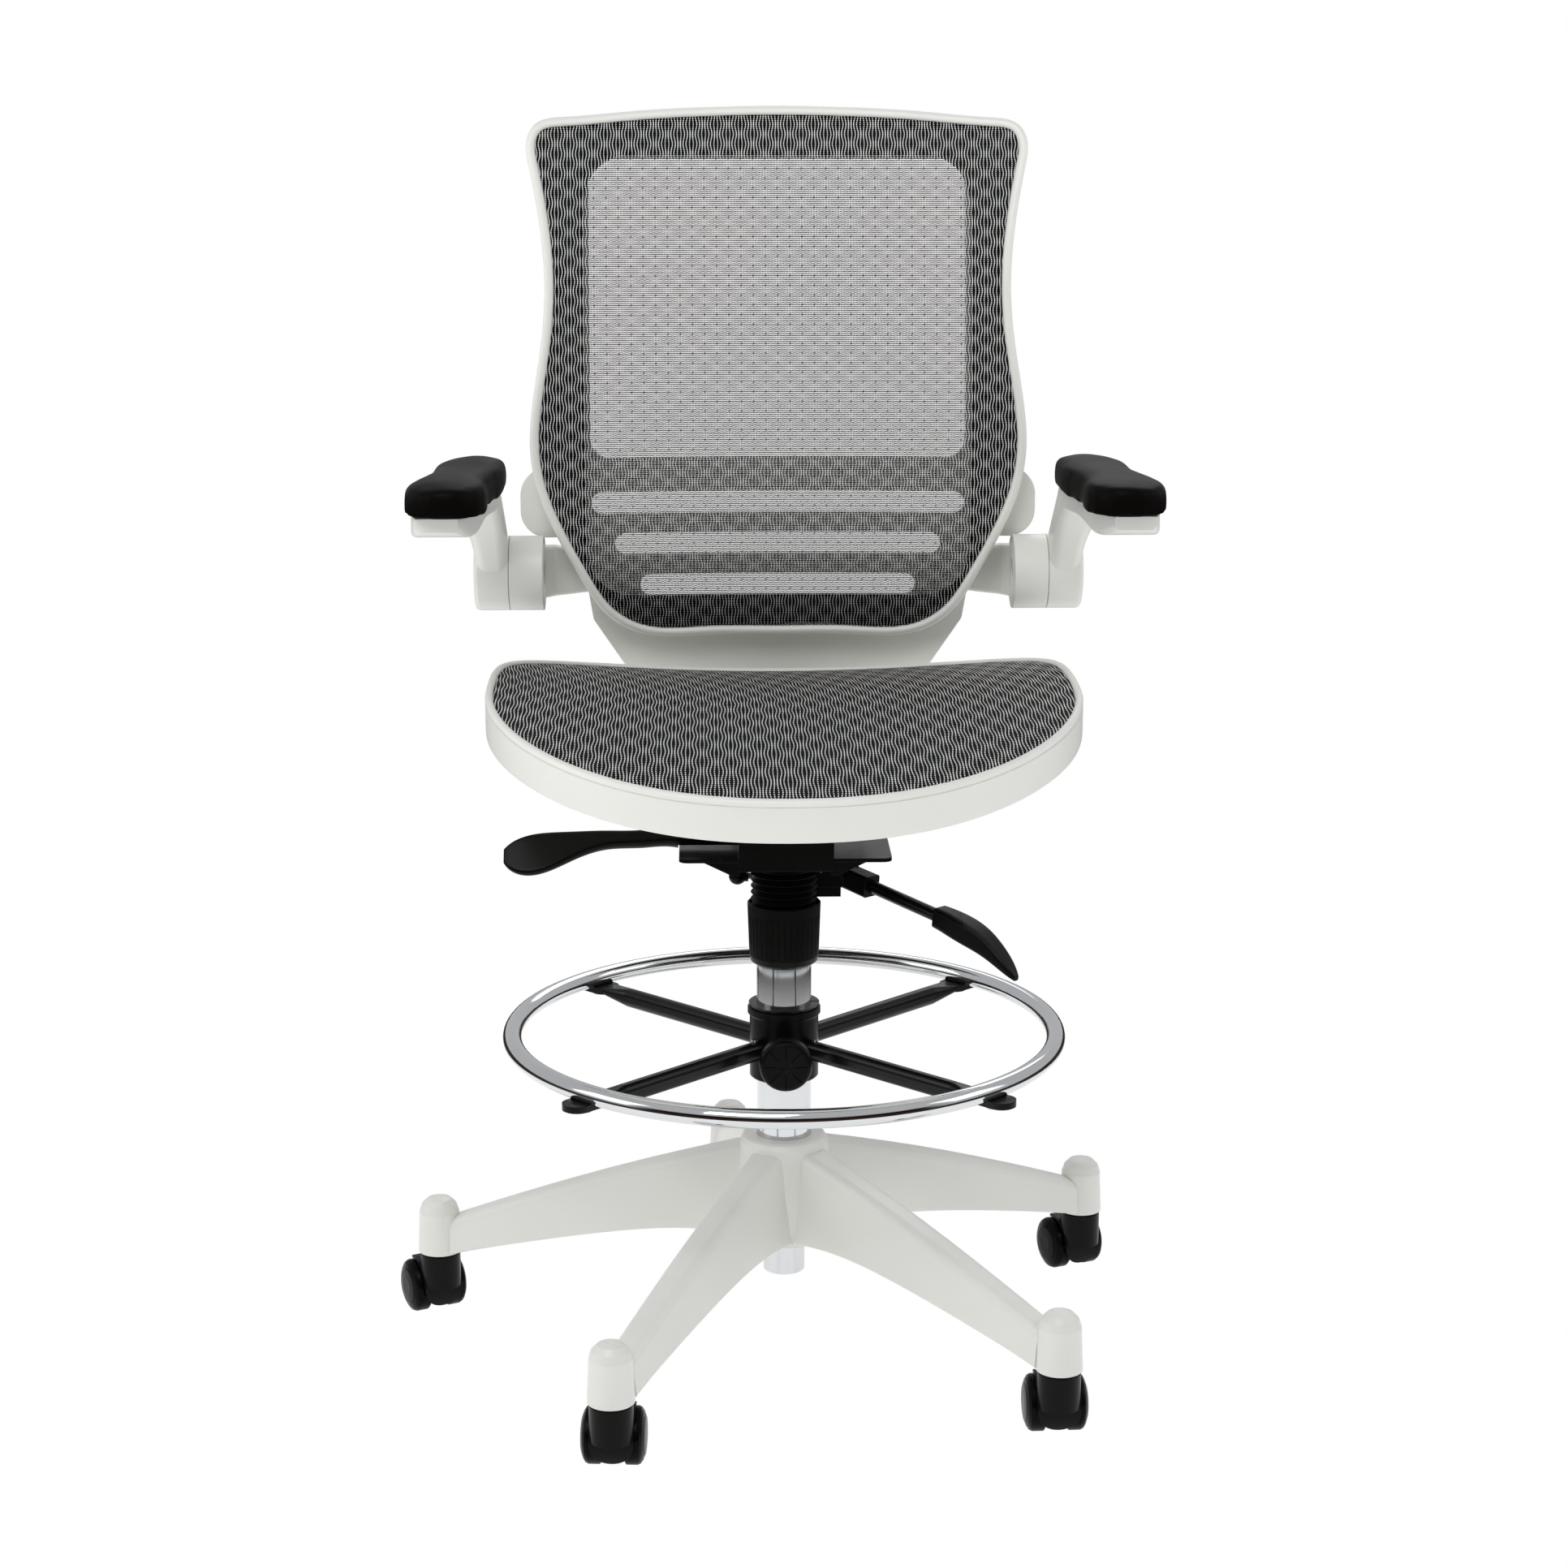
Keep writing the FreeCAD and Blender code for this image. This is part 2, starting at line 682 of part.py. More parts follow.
def make_ring_screws():
    """Cap screws that hold the ring on its spokes, and the small screws at the spokes' roots."""
    low = ring_z - ring_tube_radius + saddle_cradle - saddle_thickness
    ring = Part.makeTorus(ring_reach, ring_tube_radius, V(0, 0, ring_z))
    screws = []
    wide = ring_screw_head
    shank = ring_screw_radius
    for turn in spoke_turns():
        head = turned([
            (0, low - 4), (wide - 1, low - 4), (wide, low - 2), (wide, low), (shank, low), (shank, low + 4),
            (0, low + 4),
        ])
        head = head.cut(ring.translated(V(-ring_reach, 0, 0)))
        head.translate(V(ring_reach, 0, 0))
        root = Part.makeCylinder(3.5, 2.5, V(ring_hub_radius + 7, 0, spoke_z + spoke_half_height))
        for piece in (head, root):
            screws.append(piece.rotated(V(0, 0, 0), V(0, 0, 1), turn))
    return Part.makeCompound(screws)


def make_ring_liner():
    """Split plastic bush that slides on the column."""
    bore = column_radius + running_fit
    top = ring_hub_top_z + slide_gap
    liner = turned([
        (bore, ring_hub_low_z), (liner_radius, ring_hub_low_z), (liner_radius, top),
        (ring_flange_radius - 2, top), (ring_flange_radius - 1, top + liner_lip), (bore, top + liner_lip),
    ])
    half = liner_slit / 2
    return liner.cut(box(column_radius - 5, ring_flange_radius + 5, -half, half, ring_hub_low_z - 1, top + 10))


def make_ring_hub():
    """Hub with a flange and the threaded boss of the clamp screw."""
    bore = liner_radius + running_fit
    low = ring_hub_low_z
    top = ring_hub_top_z
    flange_z = top - ring_flange_height
    hub = turned([
        (bore, low), (ring_hub_radius - 1.5, low), (ring_hub_radius, low + 1.5),
        (ring_hub_radius, flange_z - 2), (ring_flange_radius, flange_z), (ring_flange_radius, top - 1),
        (ring_flange_radius - 1, top), (bore, top),
    ])
    boss_end = ring_hub_radius + knob_standoff - 4
    boss = Part.makeCylinder(clamp_boss_radius, boss_end, V(0, 0, knob_z), V(0, -1, 0))
    boss = boss.cut(Part.makeCylinder(bore, 200, V(0, 0, 200)))
    hub = joined([hub, boss])
    return hub.cut(Part.makeCylinder(clamp_screw_radius + running_fit, 80, V(0, 0, knob_z), V(0, -1, 0)))


def make_clamp_knob():
    """Round knob with radial grooves and a dimple."""
    face = ring_hub_radius + knob_standoff + knob_thickness
    back = ring_hub_radius + knob_standoff
    knob = turned([
        (0, back), (knob_radius - 2, back), (knob_radius, back + 2), (knob_radius, face - 4),
        (knob_radius - 1.5, face - 1.2), (knob_radius - 4, face), (5, face), (3.5, face - 1.2), (0, face - 1.2),
    ])
    groove = box(8, knob_radius + 2, -0.6, 0.6, face - 1, face + 1)
    dents = [groove.rotated(V(0, 0, 0), V(0, 0, 1), 360 / knob_grooves * i) for i in range(knob_grooves)]
    knob = knob.cut(Part.makeCompound(dents))
    knob = knob.cut(Part.makeCylinder(clamp_screw_radius, 12, V(0, 0, back - 1)))
    knob.rotate(V(0, 0, 0), V(1, 0, 0), 90)
    knob.translate(V(0, 0, knob_z))
    return knob


def make_clamp_screw():
    """Steel screw of the knob; its tip presses the liner."""
    tip = liner_radius + free_gap
    end = ring_hub_radius + knob_standoff + 11
    return Part.makeCylinder(clamp_screw_radius, end - tip, V(0, -tip, knob_z), V(0, -1, 0))


# ---- tilt mechanism ----
def make_housing():
    """Pressed-steel pan with side wings, gussets and the taper socket."""
    half = housing_half_width
    floor = housing_floor_z
    pan = box(-half, half, -housing_front, housing_rear, floor, housing_top_z)
    inside = half - sheet
    hollow = box(-inside, inside, -housing_front + sheet, housing_rear - sheet, floor + sheet, seat_height)
    pan = pan.cut(hollow)
    slope = math.tan(math.radians(tilt_limit + 1.5))
    relief_z = housing_top_z + 8
    front = tilt_y + 10
    rear = housing_rear + 10
    front_z = relief_z - 10 * slope
    rear_z = relief_z - (rear - tilt_y) * slope
    relief = Part.makePolygon([
        V(-100, front, front_z), V(-100, rear, rear_z), V(-100, rear, seat_height), V(-100, front, seat_height),
        V(-100, front, front_z),
    ])
    pan = pan.cut(Part.Face(relief).extrude(V(200, 0, 0)))
    pieces = [pan]
    for side in (-1, 1):
        inner = side * (half - 1)
        outer = side * wing_reach
        corners = [(inner, -wing_front), (outer, -wing_front), (outer, wing_rear), (inner, wing_rear)]
        pieces.append(prism([V(x, y, wing_z) for x, y in corners], [1, 8, 8, 1], V(0, 0, sheet + 1)))
        for y in (-wing_front + 20, wing_rear - 6):
            tip = side * (wing_reach - 10)
            foot = side * (half + 6)
            corners = [(inner, wing_z + 1), (tip, wing_z + 1), (foot, gusset_z), (inner, gusset_z)]
            points = [V(x, y, z) for x, z in corners]
            gusset = Part.Face(Part.makePolygon(points + [points[0]]))
            pieces.append(gusset.extrude(V(0, sheet, 0)))
    pieces.append(Part.makeCylinder(socket_boss_radius, socket_boss_height, V(0, 0, floor)))
    housing = joined(pieces)
    housing = housing.cut(turned([
        (0, floor - 1), (cylinder_radius, floor - 1), (cylinder_radius, cylinder_taper_z),
        (cylinder_tip_radius, cylinder_top_z), (0, cylinder_top_z),
    ]))
    boss = rod(V(inside, tilt_y, tilt_z), V(half, tilt_y, tilt_z), tilt_boss_radius)
    housing = joined([housing, boss, mirrored(boss)]).cut(tilt_pin())
    housing = housing.cut(rocker_pin())
    paddle_hole = rod(V(-60, paddle_y, paddle_z), V(-20, paddle_y, paddle_z), paddle_shaft_radius + running_fit)
    return housing.cut(paddle_hole)


def tilt_pin():
    """Pin that the seat tilts on."""
    reach = housing_half_width + tilt_ear + 6
    return rod(V(-reach, tilt_y, tilt_z), V(reach, tilt_y, tilt_z), tilt_pin_radius)


def rocker_pin():
    """Pin that the rocker turns on."""
    half = housing_half_width
    return rod(V(-half, rocker_y, rocker_z), V(half, rocker_y, rocker_z), rocker_pin_radius)


def make_tilt_spring():
    """Two torsion springs on the tilt pin, drawn as close turns."""
    turns = []
    for side in (-1, 1):
        for i in range(spring_turns):
            centre = V(side * (10 + i * (2 * spring_wire + 0.2)), tilt_y, tilt_z)
            turns.append(Part.makeTorus(tilt_pin_radius + spring_wire + 1, spring_wire, centre, V(1, 0, 0)))
    return Part.makeCompound(turns)


def make_socket_cup():
    """Bright half bowl behind the bellows' top."""
    top = housing_floor_z
    inside = cup_top_radius - cup_wall
    low = cup_low_z
    lip = cup_low_radius
    profile = [
        (lip, low), (lip + 5, low + 6), (cup_top_radius, low + 16), (cup_top_radius, top), (inside, top),
        (inside, low + 16), (lip + 3.8, low + 7), (lip - 1.2, low + 1.4), (lip, low),
    ]
    face = Part.Face(Part.makePolygon([V(r, 0, z) for r, z in profile]))
    return face.revolve(V(0, 0, 0), V(0, 0, 1), 180)


def make_lever_bracket():
    """Block behind the bellows that carries the height lever's shaft."""
    left = -lever_bracket_left
    right = lever_bracket_right
    rear = lever_y + 10
    hanger = box(left, right, rear - 4, rear, lever_z - 22, housing_floor_z)
    block = box(left, right, lever_y - lever_bracket_reach, rear, lever_z - 10, lever_z + 10)
    bracket = joined([hanger, block])
    bore = lever_shaft_radius + running_fit
    return bracket.cut(rod(V(left - 5, lever_y, lever_z), V(right + 5, lever_y, lever_z), bore))


def make_lever_shaft():
    """Chromed cross shaft."""
    start = V(lever_ball_x + 4, lever_y, lever_z)
    return rod(start, V(lever_bracket_right + 14, lever_y, lever_z), lever_shaft_radius)


def make_lever_ball():
    """Ball end with a short collar, bored for the shaft."""
    def at(x, r):
        return V(lever_ball_x + x, lever_y, lever_z + r)
    ball = lever_ball_radius
    collar = lever_ball_collar
    shaft = lever_shaft_radius
    neck = math.sqrt(ball ** 2 - collar ** 2)
    half_turn = (math.pi + math.atan2(collar, neck)) / 2
    crown = at(ball * math.cos(half_turn), ball * math.sin(half_turn))
    edges = [Part.Arc(at(-ball, 0), crown, at(neck, collar)).toShape()]
    corners = [at(neck, collar), at(10, collar), at(10, shaft), at(4, shaft), at(4, 0), at(-ball, 0)]
    for start, end in zip(corners, corners[1:]):
        edges.append(Part.LineSegment(start, end).toShape())
    return Part.Face(Part.Wire(edges)).revolve(at(0, 0), V(1, 0, 0), 360)


def lever_line():
    """Start, direction and side axes of the lever rod."""
    start = V(lever_bracket_right + 6, lever_y - 2, lever_z)
    along = (lever_grip_start - start).normalize()
    across = along.cross(V(0, 0, 1)).normalize()
    return start, along, across, across.cross(along).normalize()


def lever_section(centre, across, up, half_width, half_height, radius):
    """Rounded rectangle square to the lever."""
    corners = [(-1, -1), (1, -1), (1, 1), (-1, 1)]
    points = [centre + across * (a * half_width) + up * (b * half_height) for a, b in corners]
    return rounded_wire(points, [radius] * 4)


def make_lever_socket(shaft):
    """Plastic elbow from the shaft to the rod."""
    start, along, across, up = lever_line()
    near = lever_bracket_right + free_gap
    block = rod(V(near, lever_y, lever_z), V(lever_bracket_right + 16, lever_y, lever_z), lever_block_radius)
    reach = (lever_socket_end - start).Length
    first = lever_section(start - along * 4, across, up, 9, 10, 3)
    last = lever_section(start + along * reach, across, up, 9.5, 10, 3)
    socket = Part.makeLoft([first, last], True, True)
    keep = box(near, 200, -200, 200, 300, 500)
    socket = joined([block, socket.common(keep)])
    inside = rod(start + along * lever_rod_root, start + along * 120, lever_rod_radius)
    return socket.cut(shaft).cut(inside)


def make_lever_rod():
    """Round rod between socket and grip."""
    start, along, across, up = lever_line()
    return rod(start + along * lever_rod_root, lever_grip_start + along * 14, lever_rod_radius)


def make_lever_grip(rod_solid):
    """Curved plastic grip that droops at its tip."""
    start, along, across, up = lever_line()
    down = V(0, 0, -1)
    wires = []
    for reach, drop, half_width, half_height, radius in grip_stations:
        centre = lever_grip_start + along * reach + down * drop
        wires.append(lever_section(centre, across, up, half_width, half_height, radius))
    return Part.makeLoft(wires, True, False).cut(rod_solid)


def make_rocker():
    """Steel rocker over the valve button."""
    over_button = cylinder_top_z + button_rise + slide_gap
    edge = button_radius + 1
    x = -rocker_half_width
    corners = [
        (-edge, over_button), (cylinder_tip_radius + 1, over_button), (rocker_y - 12, rocker_z + 4.5),
        (rocker_y + 4, rocker_z - 5), (rocker_y + 6, rocker_z + 5), (rocker_y - 14, over_button + 4),
        (-edge, over_button + 4),
    ]
    arm = prism([V(x, y, z) for y, z in corners], [0.4, 1, 1, 2, 2, 4, 1], V(2 * rocker_half_width, 0, 0))
    hole = rod(V(-20, rocker_y, rocker_z), V(20, rocker_y, rocker_z), rocker_pin_radius + running_fit)
    boss_clear = Part.makeCylinder(
        socket_boss_radius + free_gap, socket_boss_height + free_gap, V(0, 0, housing_floor_z))
    return arm.cut(hole).cut(boss_clear)


def make_paddle():
    """Tilt-lock lever: round shaft, sleeve and a leaf that hangs forward."""
    inner = -housing_half_width + 10
    outer = paddle_stations[0][0] - 12
    shaft = rod(V(inner, paddle_y, paddle_z), V(outer, paddle_y, paddle_z), paddle_shaft_radius)
    lean = V(0, -0.62, -0.78)
    flat = V(0, 0.78, -0.62)
    wires = []
    for x, drop, half_height, half_thick in paddle_stations:
        centre = V(x, paddle_y - drop * 0.4, paddle_z - drop)
        corners = [(-1, -1), (1, -1), (1, 1), (-1, 1)]
        points = [centre + lean * (a * half_height) + flat * (b * half_thick) for a, b in corners]
        wires.append(rounded_wire(points, [half_thick * 0.85] * 4))
    return Part.makeLoft(wires, True, False).fuse(shaft)


# ---- seat ----
def seat_surface(x, y):
    """Height of the seat's top."""
    return seat_height - seat_fall * (y - seat_crest_y) ** 2 + seat_dish * (x / seat_half_width) ** 2


def seat_outline(inset, z):
    """Closed plan outline of the seat, inset from its edge."""
    points = []
    count = 48
    for i in range(count):
        angle = 2 * math.pi * i / count
        c = math.cos(angle)
        s = math.sin(angle)
        reach = seat_rear - seat_middle_y if s > 0 else seat_front + seat_middle_y
        power = rear_roundness if s > 0 else front_roundness
        x = (seat_half_width - inset) * math.copysign(abs(c) ** (2 / power), c)
        y = seat_middle_y + (reach - inset) * math.copysign(abs(s) ** (2 / power), s)
        points.append(V(x, y, z))
    return smooth_outline(points)


def seat_slab(top, bottom):
    """Layer between two heights below the seat's top."""
    span_x = (-seat_half_width - 20, seat_half_width + 20)
    span_y = (-seat_front - 20, seat_rear + 20)
    return bowed_slab(lambda x, y: seat_surface(x, y) - bottom, span_x, span_y, V, V(0, 0, bottom - top))


def seat_prism(inset):
    """Upright solid of the seat's outline."""
    return Part.Face(seat_outline(inset, 480)).extrude(V(0, 0, 200))


def make_seat_frame():
    """White rim with a deep skirt."""
    skirt = seat_prism(0).cut(seat_prism(seat_skirt_wall)).common(seat_slab(-1, seat_skirt))
    lip = seat_prism(1).cut(seat_prism(seat_rim)).common(seat_slab(-1, 8))
    return joined([skirt, lip])


def make_seat_mesh():
    """Mesh panel held in the rim."""
    return seat_prism(seat_rim).common(seat_slab(mesh_drop, mesh_drop + mesh_thickness))


def make_seat_pan():
    """White tray under the mesh."""
    def tray(wall):
        wires = [seat_outline(inset + wall, z) for inset, z in tray_levels[:-1]]
        wires.append(seat_outline(tray_levels[-1][0] + wall, pan_floor_z + wall))
        return Part.makeLoft(wires, True, False)
    solid = tray(0)
    hollow = tray(pan_wall)
    hollow = hollow.cut(box(-400, 400, -400, 400, 400, pan_floor_z + pan_wall))
    shell = solid.cut(hollow)
    above = seat_slab(-60, seat_skirt - 6)
    return shell.cut(above)


def make_seat_plate():
    """Steel plate under the tray with two ears on the tilt pin."""
    low = plate_z
    half = plate_half_width
    corners = [(-half, -plate_front), (half, -plate_front), (half, plate_rear), (-half, plate_rear)]
    plate = prism([V(x, y, low) for x, y in corners], [14] * 4, V(0, 0, plate_thickness))
    window = box(-plate_window_half, plate_window_half, -30, 70, low - 5, low + plate_thickness + 5)
    plate = plate.cut(window)
    ear_top = low + 2
    ear_low = tilt_z - tilt_boss_radius
    corners = [(-14, ear_top), (-10, ear_low), (10, ear_low), (14, ear_top)]
    ears = []
    for side in (-1, 1):
        x0 = side * (housing_half_width + free_gap)
        ears.append(prism([V(x0, tilt_y + y, z) for y, z in corners], [1, 8, 8, 1], V(side * tilt_ear, 0, 0)))
    plate = joined([plate] + ears)
    return plate.cut(rod(V(-70, tilt_y, tilt_z), V(70, tilt_y, tilt_z), tilt_pin_radius + running_fit))


# ---- back ----
def back_surface(x, z):
    """Depth of the back's front face."""
    return lumbar_y + back_bow * (z - lumbar_z) ** 2 - back_wrap * (x / back_half_width) ** 2


def back_slab(front, rear):
    """Layer between two depths behind the back's front face."""
    span_x = (-back_half_width - 65, back_half_width + 65)
    span_z = (shell_foot_z - 48, back_top_z + 71)
    run = V(0, rear - front, 0)
    return bowed_slab(lambda x, z: back_surface(x, z) + front, span_x, span_z, lambda x, z, y: V(x, y, z), run)


def back_half_outline():
    """Right half of the back's outline as half width and height, bottom to top."""
    w = back_half_width
    rise = back_top_z - back_bottom_z
    shares = [
        (0.0, 0.0), (0.30, 0.0), (0.58, 0.008), (0.715, 0.05), (0.80, 0.11), (0.90, 0.20), (0.975, 0.29),
        (1.0, 0.37), (0.985, 0.46), (0.952, 0.56), (0.935, 0.66), (0.945, 0.75), (0.972, 0.835), (0.998, 0.895),
        (1.006, 0.93), (0.97, 0.966), (0.86, 0.979), (0.55, 0.991), (0.25, 0.998), (0.0, 1.0),
    ]
    return [(w * a, back_bottom_z + rise * b) for a, b in shares]


def inset_outline(points, inset):
    """Outline moved inwards along its own normals."""
    moved = []
    count = len(points)
    for i in range(count):
        x0, z0 = points[i - 1]
        x1, z1 = points[(i + 1) % count]
        length = math.hypot(x1 - x0, z1 - z0)
        moved.append((points[i][0] - inset * (z1 - z0) / length, points[i][1] + inset * (x1 - x0) / length))
    return moved


def back_prism(inset):
    """Solid along Y of the back's outline, inset from its edge."""
    half = back_half_outline()
    whole = half + [(-x, z) for x, z in half[-2:0:-1]]
    whole = inset_outline(whole, inset)
    return Part.Face(smooth_outline([V(x, 100, z) for x, z in whole])).extrude(V(0, 300, 0))


def block_along_y(half_width, low, high, radius):
    """Rounded rectangular block along Y."""
    corners = [(-half_width, low), (half_width, low), (half_width, high), (-half_width, high)]
    return prism([V(x, 100, z) for x, z in corners], [radius] * 4, V(0, 300, 0))


def make_back_frame():
    """White rim round the back mesh, deep enough to reach the rear shell."""
    ring = back_prism(0).cut(back_prism(back_rim))
    return ring.common(back_slab(-back_rim_front, shell_offset - seam_gap))


def make_back_mesh():
    """Mesh panel held in the rim."""
    return back_prism(back_rim).common(back_slab(0, mesh_thickness))


def make_mesh_carrier():
    """Black ring behind the mesh's border."""
    ring = back_prism(back_rim).cut(block_along_y(carrier_half_width, carrier_low_z, carrier_high_z, 45))
    return ring.common(back_slab(carrier_offset, carrier_offset + carrier_thickness))


def make_rear_shell():
    """White structural shell with a window, three slots, ears and a foot."""
    body = back_prism(1.5)
    ears = block_along_y(ear_half_width, lumbar_z - 55, lumbar_z + 12, 26)
    waist = 0.76 * back_half_width
    hip = 0.79 * back_half_width
    waist_z = back_bottom_z + 14
    hip_z = back_bottom_z + 60
    corners = [
        (-shell_foot_half_width, shell_foot_z), (shell_foot_half_width, shell_foot_z), (waist, waist_z),
        (hip, hip_z), (-hip, hip_z), (-waist, waist_z),
    ]
    foot = prism([V(x, 100, z) for x, z in corners], [18, 18, 12, 4, 4, 12], V(0, 300, 0))
    outline = joined([body, ears, foot])
    cuts = [block_along_y(window_half_width, window_low_z, window_high_z, window_corner)]
    half = slot_height / 2
    for half_width, centre in zip(slot_half_widths, slot_centres_z):
        cuts.append(block_along_y(half_width, centre - half, centre + half, half - 0.1))
    outline = outline.cut(Part.makeCompound(cuts))
    return outline.common(back_slab(shell_offset, shell_offset + shell_thickness))


def shell_rear_y(z):
    """Depth of the rear shell's back face on the middle line."""
    return back_surface(0, z) + shell_offset + shell_thickness


def make_back_bar(shell):
    """Bent steel bar from the seat plate up the rear shell."""
    low = plate_z - back_bar_thickness
    foot_y = shell_rear_y(shell_foot_z)
    top_z = back_bottom_z + 25
    top_y = shell_rear_y(top_z)
    half = back_bar_half_width
    front = plate_rear - back_bar_lap
    foot_rear = foot_y + back_bar_thickness + 1
    corners = [
        (front, low), (foot_rear, low), (foot_rear, shell_foot_z), (top_y + back_bar_thickness, top_z),
        (top_y - 1, top_z), (foot_y - 1, shell_foot_z), (foot_y - 1, plate_z), (front, plate_z),
    ]
    bar = prism([V(-half, y, z) for y, z in corners], [2, 12, 8, 2, 2, 6, 5, 2], V(2 * half, 0, 0))
    return bar.cut(shell)


def make_frame_bolts():
    """Heads of the bolts that hold the bar to plate and shell, and the bolts in the arm brackets."""
    low = plate_z - back_bar_thickness
    heads = []
    for x in (-25, 25):
        centre = V(x, plate_rear - back_bar_lap + 10, low - bolt_head)
        heads.append(Part.makeCylinder(bolt_head_radius, bolt_head, centre))
    for side in (-1, 1):
        x = side * (bracket_inner_x + recess_depth)
        seat = V(x, arm_pivot_y, arm_pivot_z)
        heads.append(rod(seat, seat - V(side * 4.5, 0, 0), bolt_head_radius + 0.5))
    return Part.makeCompound(heads)


def arm_rod(start_x, end_x, radius):
    """Round bar along X on the right arm's pivot."""
    return rod(V(start_x, arm_pivot_y, arm_pivot_z), V(end_x, arm_pivot_y, arm_pivot_z), radius)


def make_arm_bracket(shell, frame):
    """Round boss beside the back, joined to the rear shell by a web."""
    boss = arm_rod(bracket_inner_x, bracket_outer_x, arm_disc_radius)
    rear = shell_rear_y(arm_pivot_z) - back_wrap * 0.55
    # across the chair, front, rear, drop and rise from the pivot
    sections = [
        (bracket_outer_x - 14, arm_pivot_y + 2, arm_pivot_y + 34, 29, 22),
        (bracket_inner_x - 8, rear - 4, rear + 12, 27, 22),
        (bracket_inner_x - 60, rear + 3, rear + 13, 22, 14),
    ]
    wires = []
    for x, y0, y1, drop, rise in sections:
        z0 = arm_pivot_z - drop
        z1 = arm_pivot_z + rise
        wires.append(rounded_wire([V(x, y0, z0), V(x, y1, z0), V(x, y1, z1), V(x, y0, z1)], [4] * 4))
    web = Part.makeLoft(wires, True, True)
    bracket = joined([boss, web]).cut(shell).cut(frame)
    bolt_seat = bracket_inner_x + recess_depth
    bracket = bracket.cut(arm_rod(bracket_inner_x - 1, bolt_seat, recess_radius))
    bracket = bracket.cut(arm_rod(bolt_seat + 4, bracket_outer_x + 1, arm_pin_radius + running_fit))
    return max(bracket.Solids, key=lambda solid: solid.Volume)


# ---- arms ----
def make_arm():
    """Flip-up arm: pivot disc with its pin, a leaning post and the beam under the pad."""
    inner = bracket_outer_x + free_gap
    outer = inner + arm_disc_thickness
    disc = arm_rod(inner, outer, arm_disc_radius)
    disc = disc.makeFillet(5, [e for e in disc.Edges if abs(e.CenterOfMass.x - outer) < 0.1])
    pin = arm_rod(bracket_inner_x + recess_depth + 5, inner + 1, arm_pin_radius)
    # height, both sides, front and rear from the pivot
    post_levels = [
        (arm_pivot_z, inner, outer - 2, -33, 26),
        (arm_pivot_z + 28, inner + 1, outer - 1, -46, 8),
        (arm_pivot_z + 56, inner + 2, outer + 5, -76, -22),
        (pad_base_z - 7, inner + 4, outer + 10, -120, -52),
    ]
    wires = []
    for z, x0, x1, front, rear in post_levels:
        y0 = arm_pivot_y + front
        y1 = arm_pivot_y + rear
        wires.append(rounded_wire([V(x0, y0, z), V(x1, y0, z), V(x1, y1, z), V(x0, y1, z)], [9] * 4))
    post = Part.makeLoft(wires, True, False)
    # along the chair, both sides from the disc's inner face, depth below the pad
    beam_levels = [
        (arm_pivot_y - 52, 5.6, 46.6, 16),
        (arm_pivot_y - 130, 5.6, 49.6, 20),
        (arm_pivot_y - 220, 9.6, 61.6, 20),
        (pad_front_y + 45, 15.6, 65.6, 19),
        (pad_front_y + 22, 23.6, 59.6, 12),
    ]
    wires = []
    for y, near, far, depth in beam_levels:
        x0 = inner + near
        x1 = inner + far
        corners = [(x0, pad_base_z - depth), (x1, pad_base_z - depth), (x1, pad_base_z), (x0, pad_base_z)]
        wires.append(rounded_wire([V(x, y, z) for x, z in corners], [5, 5, 1.5, 1.5]))
    beam = Part.makeLoft(wires, True, False)
    return joined([disc, pin, post, beam])


def make_arm_pad(arm):
    """Soft pad, wider and further out at its front."""
    low = pad_base_z
    wide = pad_half_width
    outline = [
        (pad_inner_x - wide + 2, pad_rear_y - 22), (pad_inner_x - 24, pad_rear_y),
        (pad_inner_x + 8, pad_rear_y - 3), (pad_inner_x + 26, pad_rear_y - 30),
        (pad_outer_x + 27, pad_rear_y - 92), (pad_outer_x + wide - 2, pad_front_y + 78),
        (pad_outer_x + wide - 2, pad_front_y + 28), (pad_outer_x + 16, pad_front_y + 3),
        (pad_outer_x - 12, pad_front_y + 1), (pad_outer_x - 32, pad_front_y + 26),
        (pad_outer_x - 33, pad_front_y + 78), (pad_inner_x - wide + 1, pad_rear_y - 92),
    ]
    solid = Part.Face(smooth_outline([V(x, y, low) for x, y in outline])).extrude(V(0, 0, pad_thickness))
    top_edges = [e for e in solid.Edges if e.BoundBox.ZMin > low + pad_thickness - 0.1]
    return solid.makeFillet(pad_edge_round, top_edges).cut(arm)


# ---- build ----
nodes = {}
nodes["star_base"] = make_star_base()
nodes["caster_stems"] = make_stems()
nodes["column_tube"] = make_column_tube()
nodes["guide_bush"] = make_guide_bush()
nodes["column_collar"] = make_collar()
nodes["thrust_bearing"] = make_thrust_bearing()
nodes["piston_rod"] = make_piston_rod()
nodes["bellows"] = make_bellows()
nodes["gas_cylinder"] = make_gas_cylinder()
nodes["valve_button"] = make_valve_button()

caster_hood, caster_axle, caster_wheel = make_caster()
other_wheel = caster_wheel.mirror(V(0, 0, 0), V(0, 1, 0))
for n in range(leg_count):
    hood_pieces = [place_caster(caster_hood, n), place_caster(caster_axle, n)]
    nodes[f"caster_hood_{n + 1}"] = Part.makeCompound(hood_pieces)
    nodes[f"caster_wheel_{n + 1}_left"] = place_caster(caster_wheel, n)
    nodes[f"caster_wheel_{n + 1}_right"] = place_caster(other_wheel, n)

nodes["foot_ring"] = make_foot_ring()
nodes["ring_liner"] = make_ring_liner()
nodes["ring_hub"] = make_ring_hub()
nodes["ring_spokes"] = make_spokes()
nodes["ring_screws"] = make_ring_screws()
nodes["clamp_knob"] = make_clamp_knob()
nodes["clamp_screw"] = make_clamp_screw()

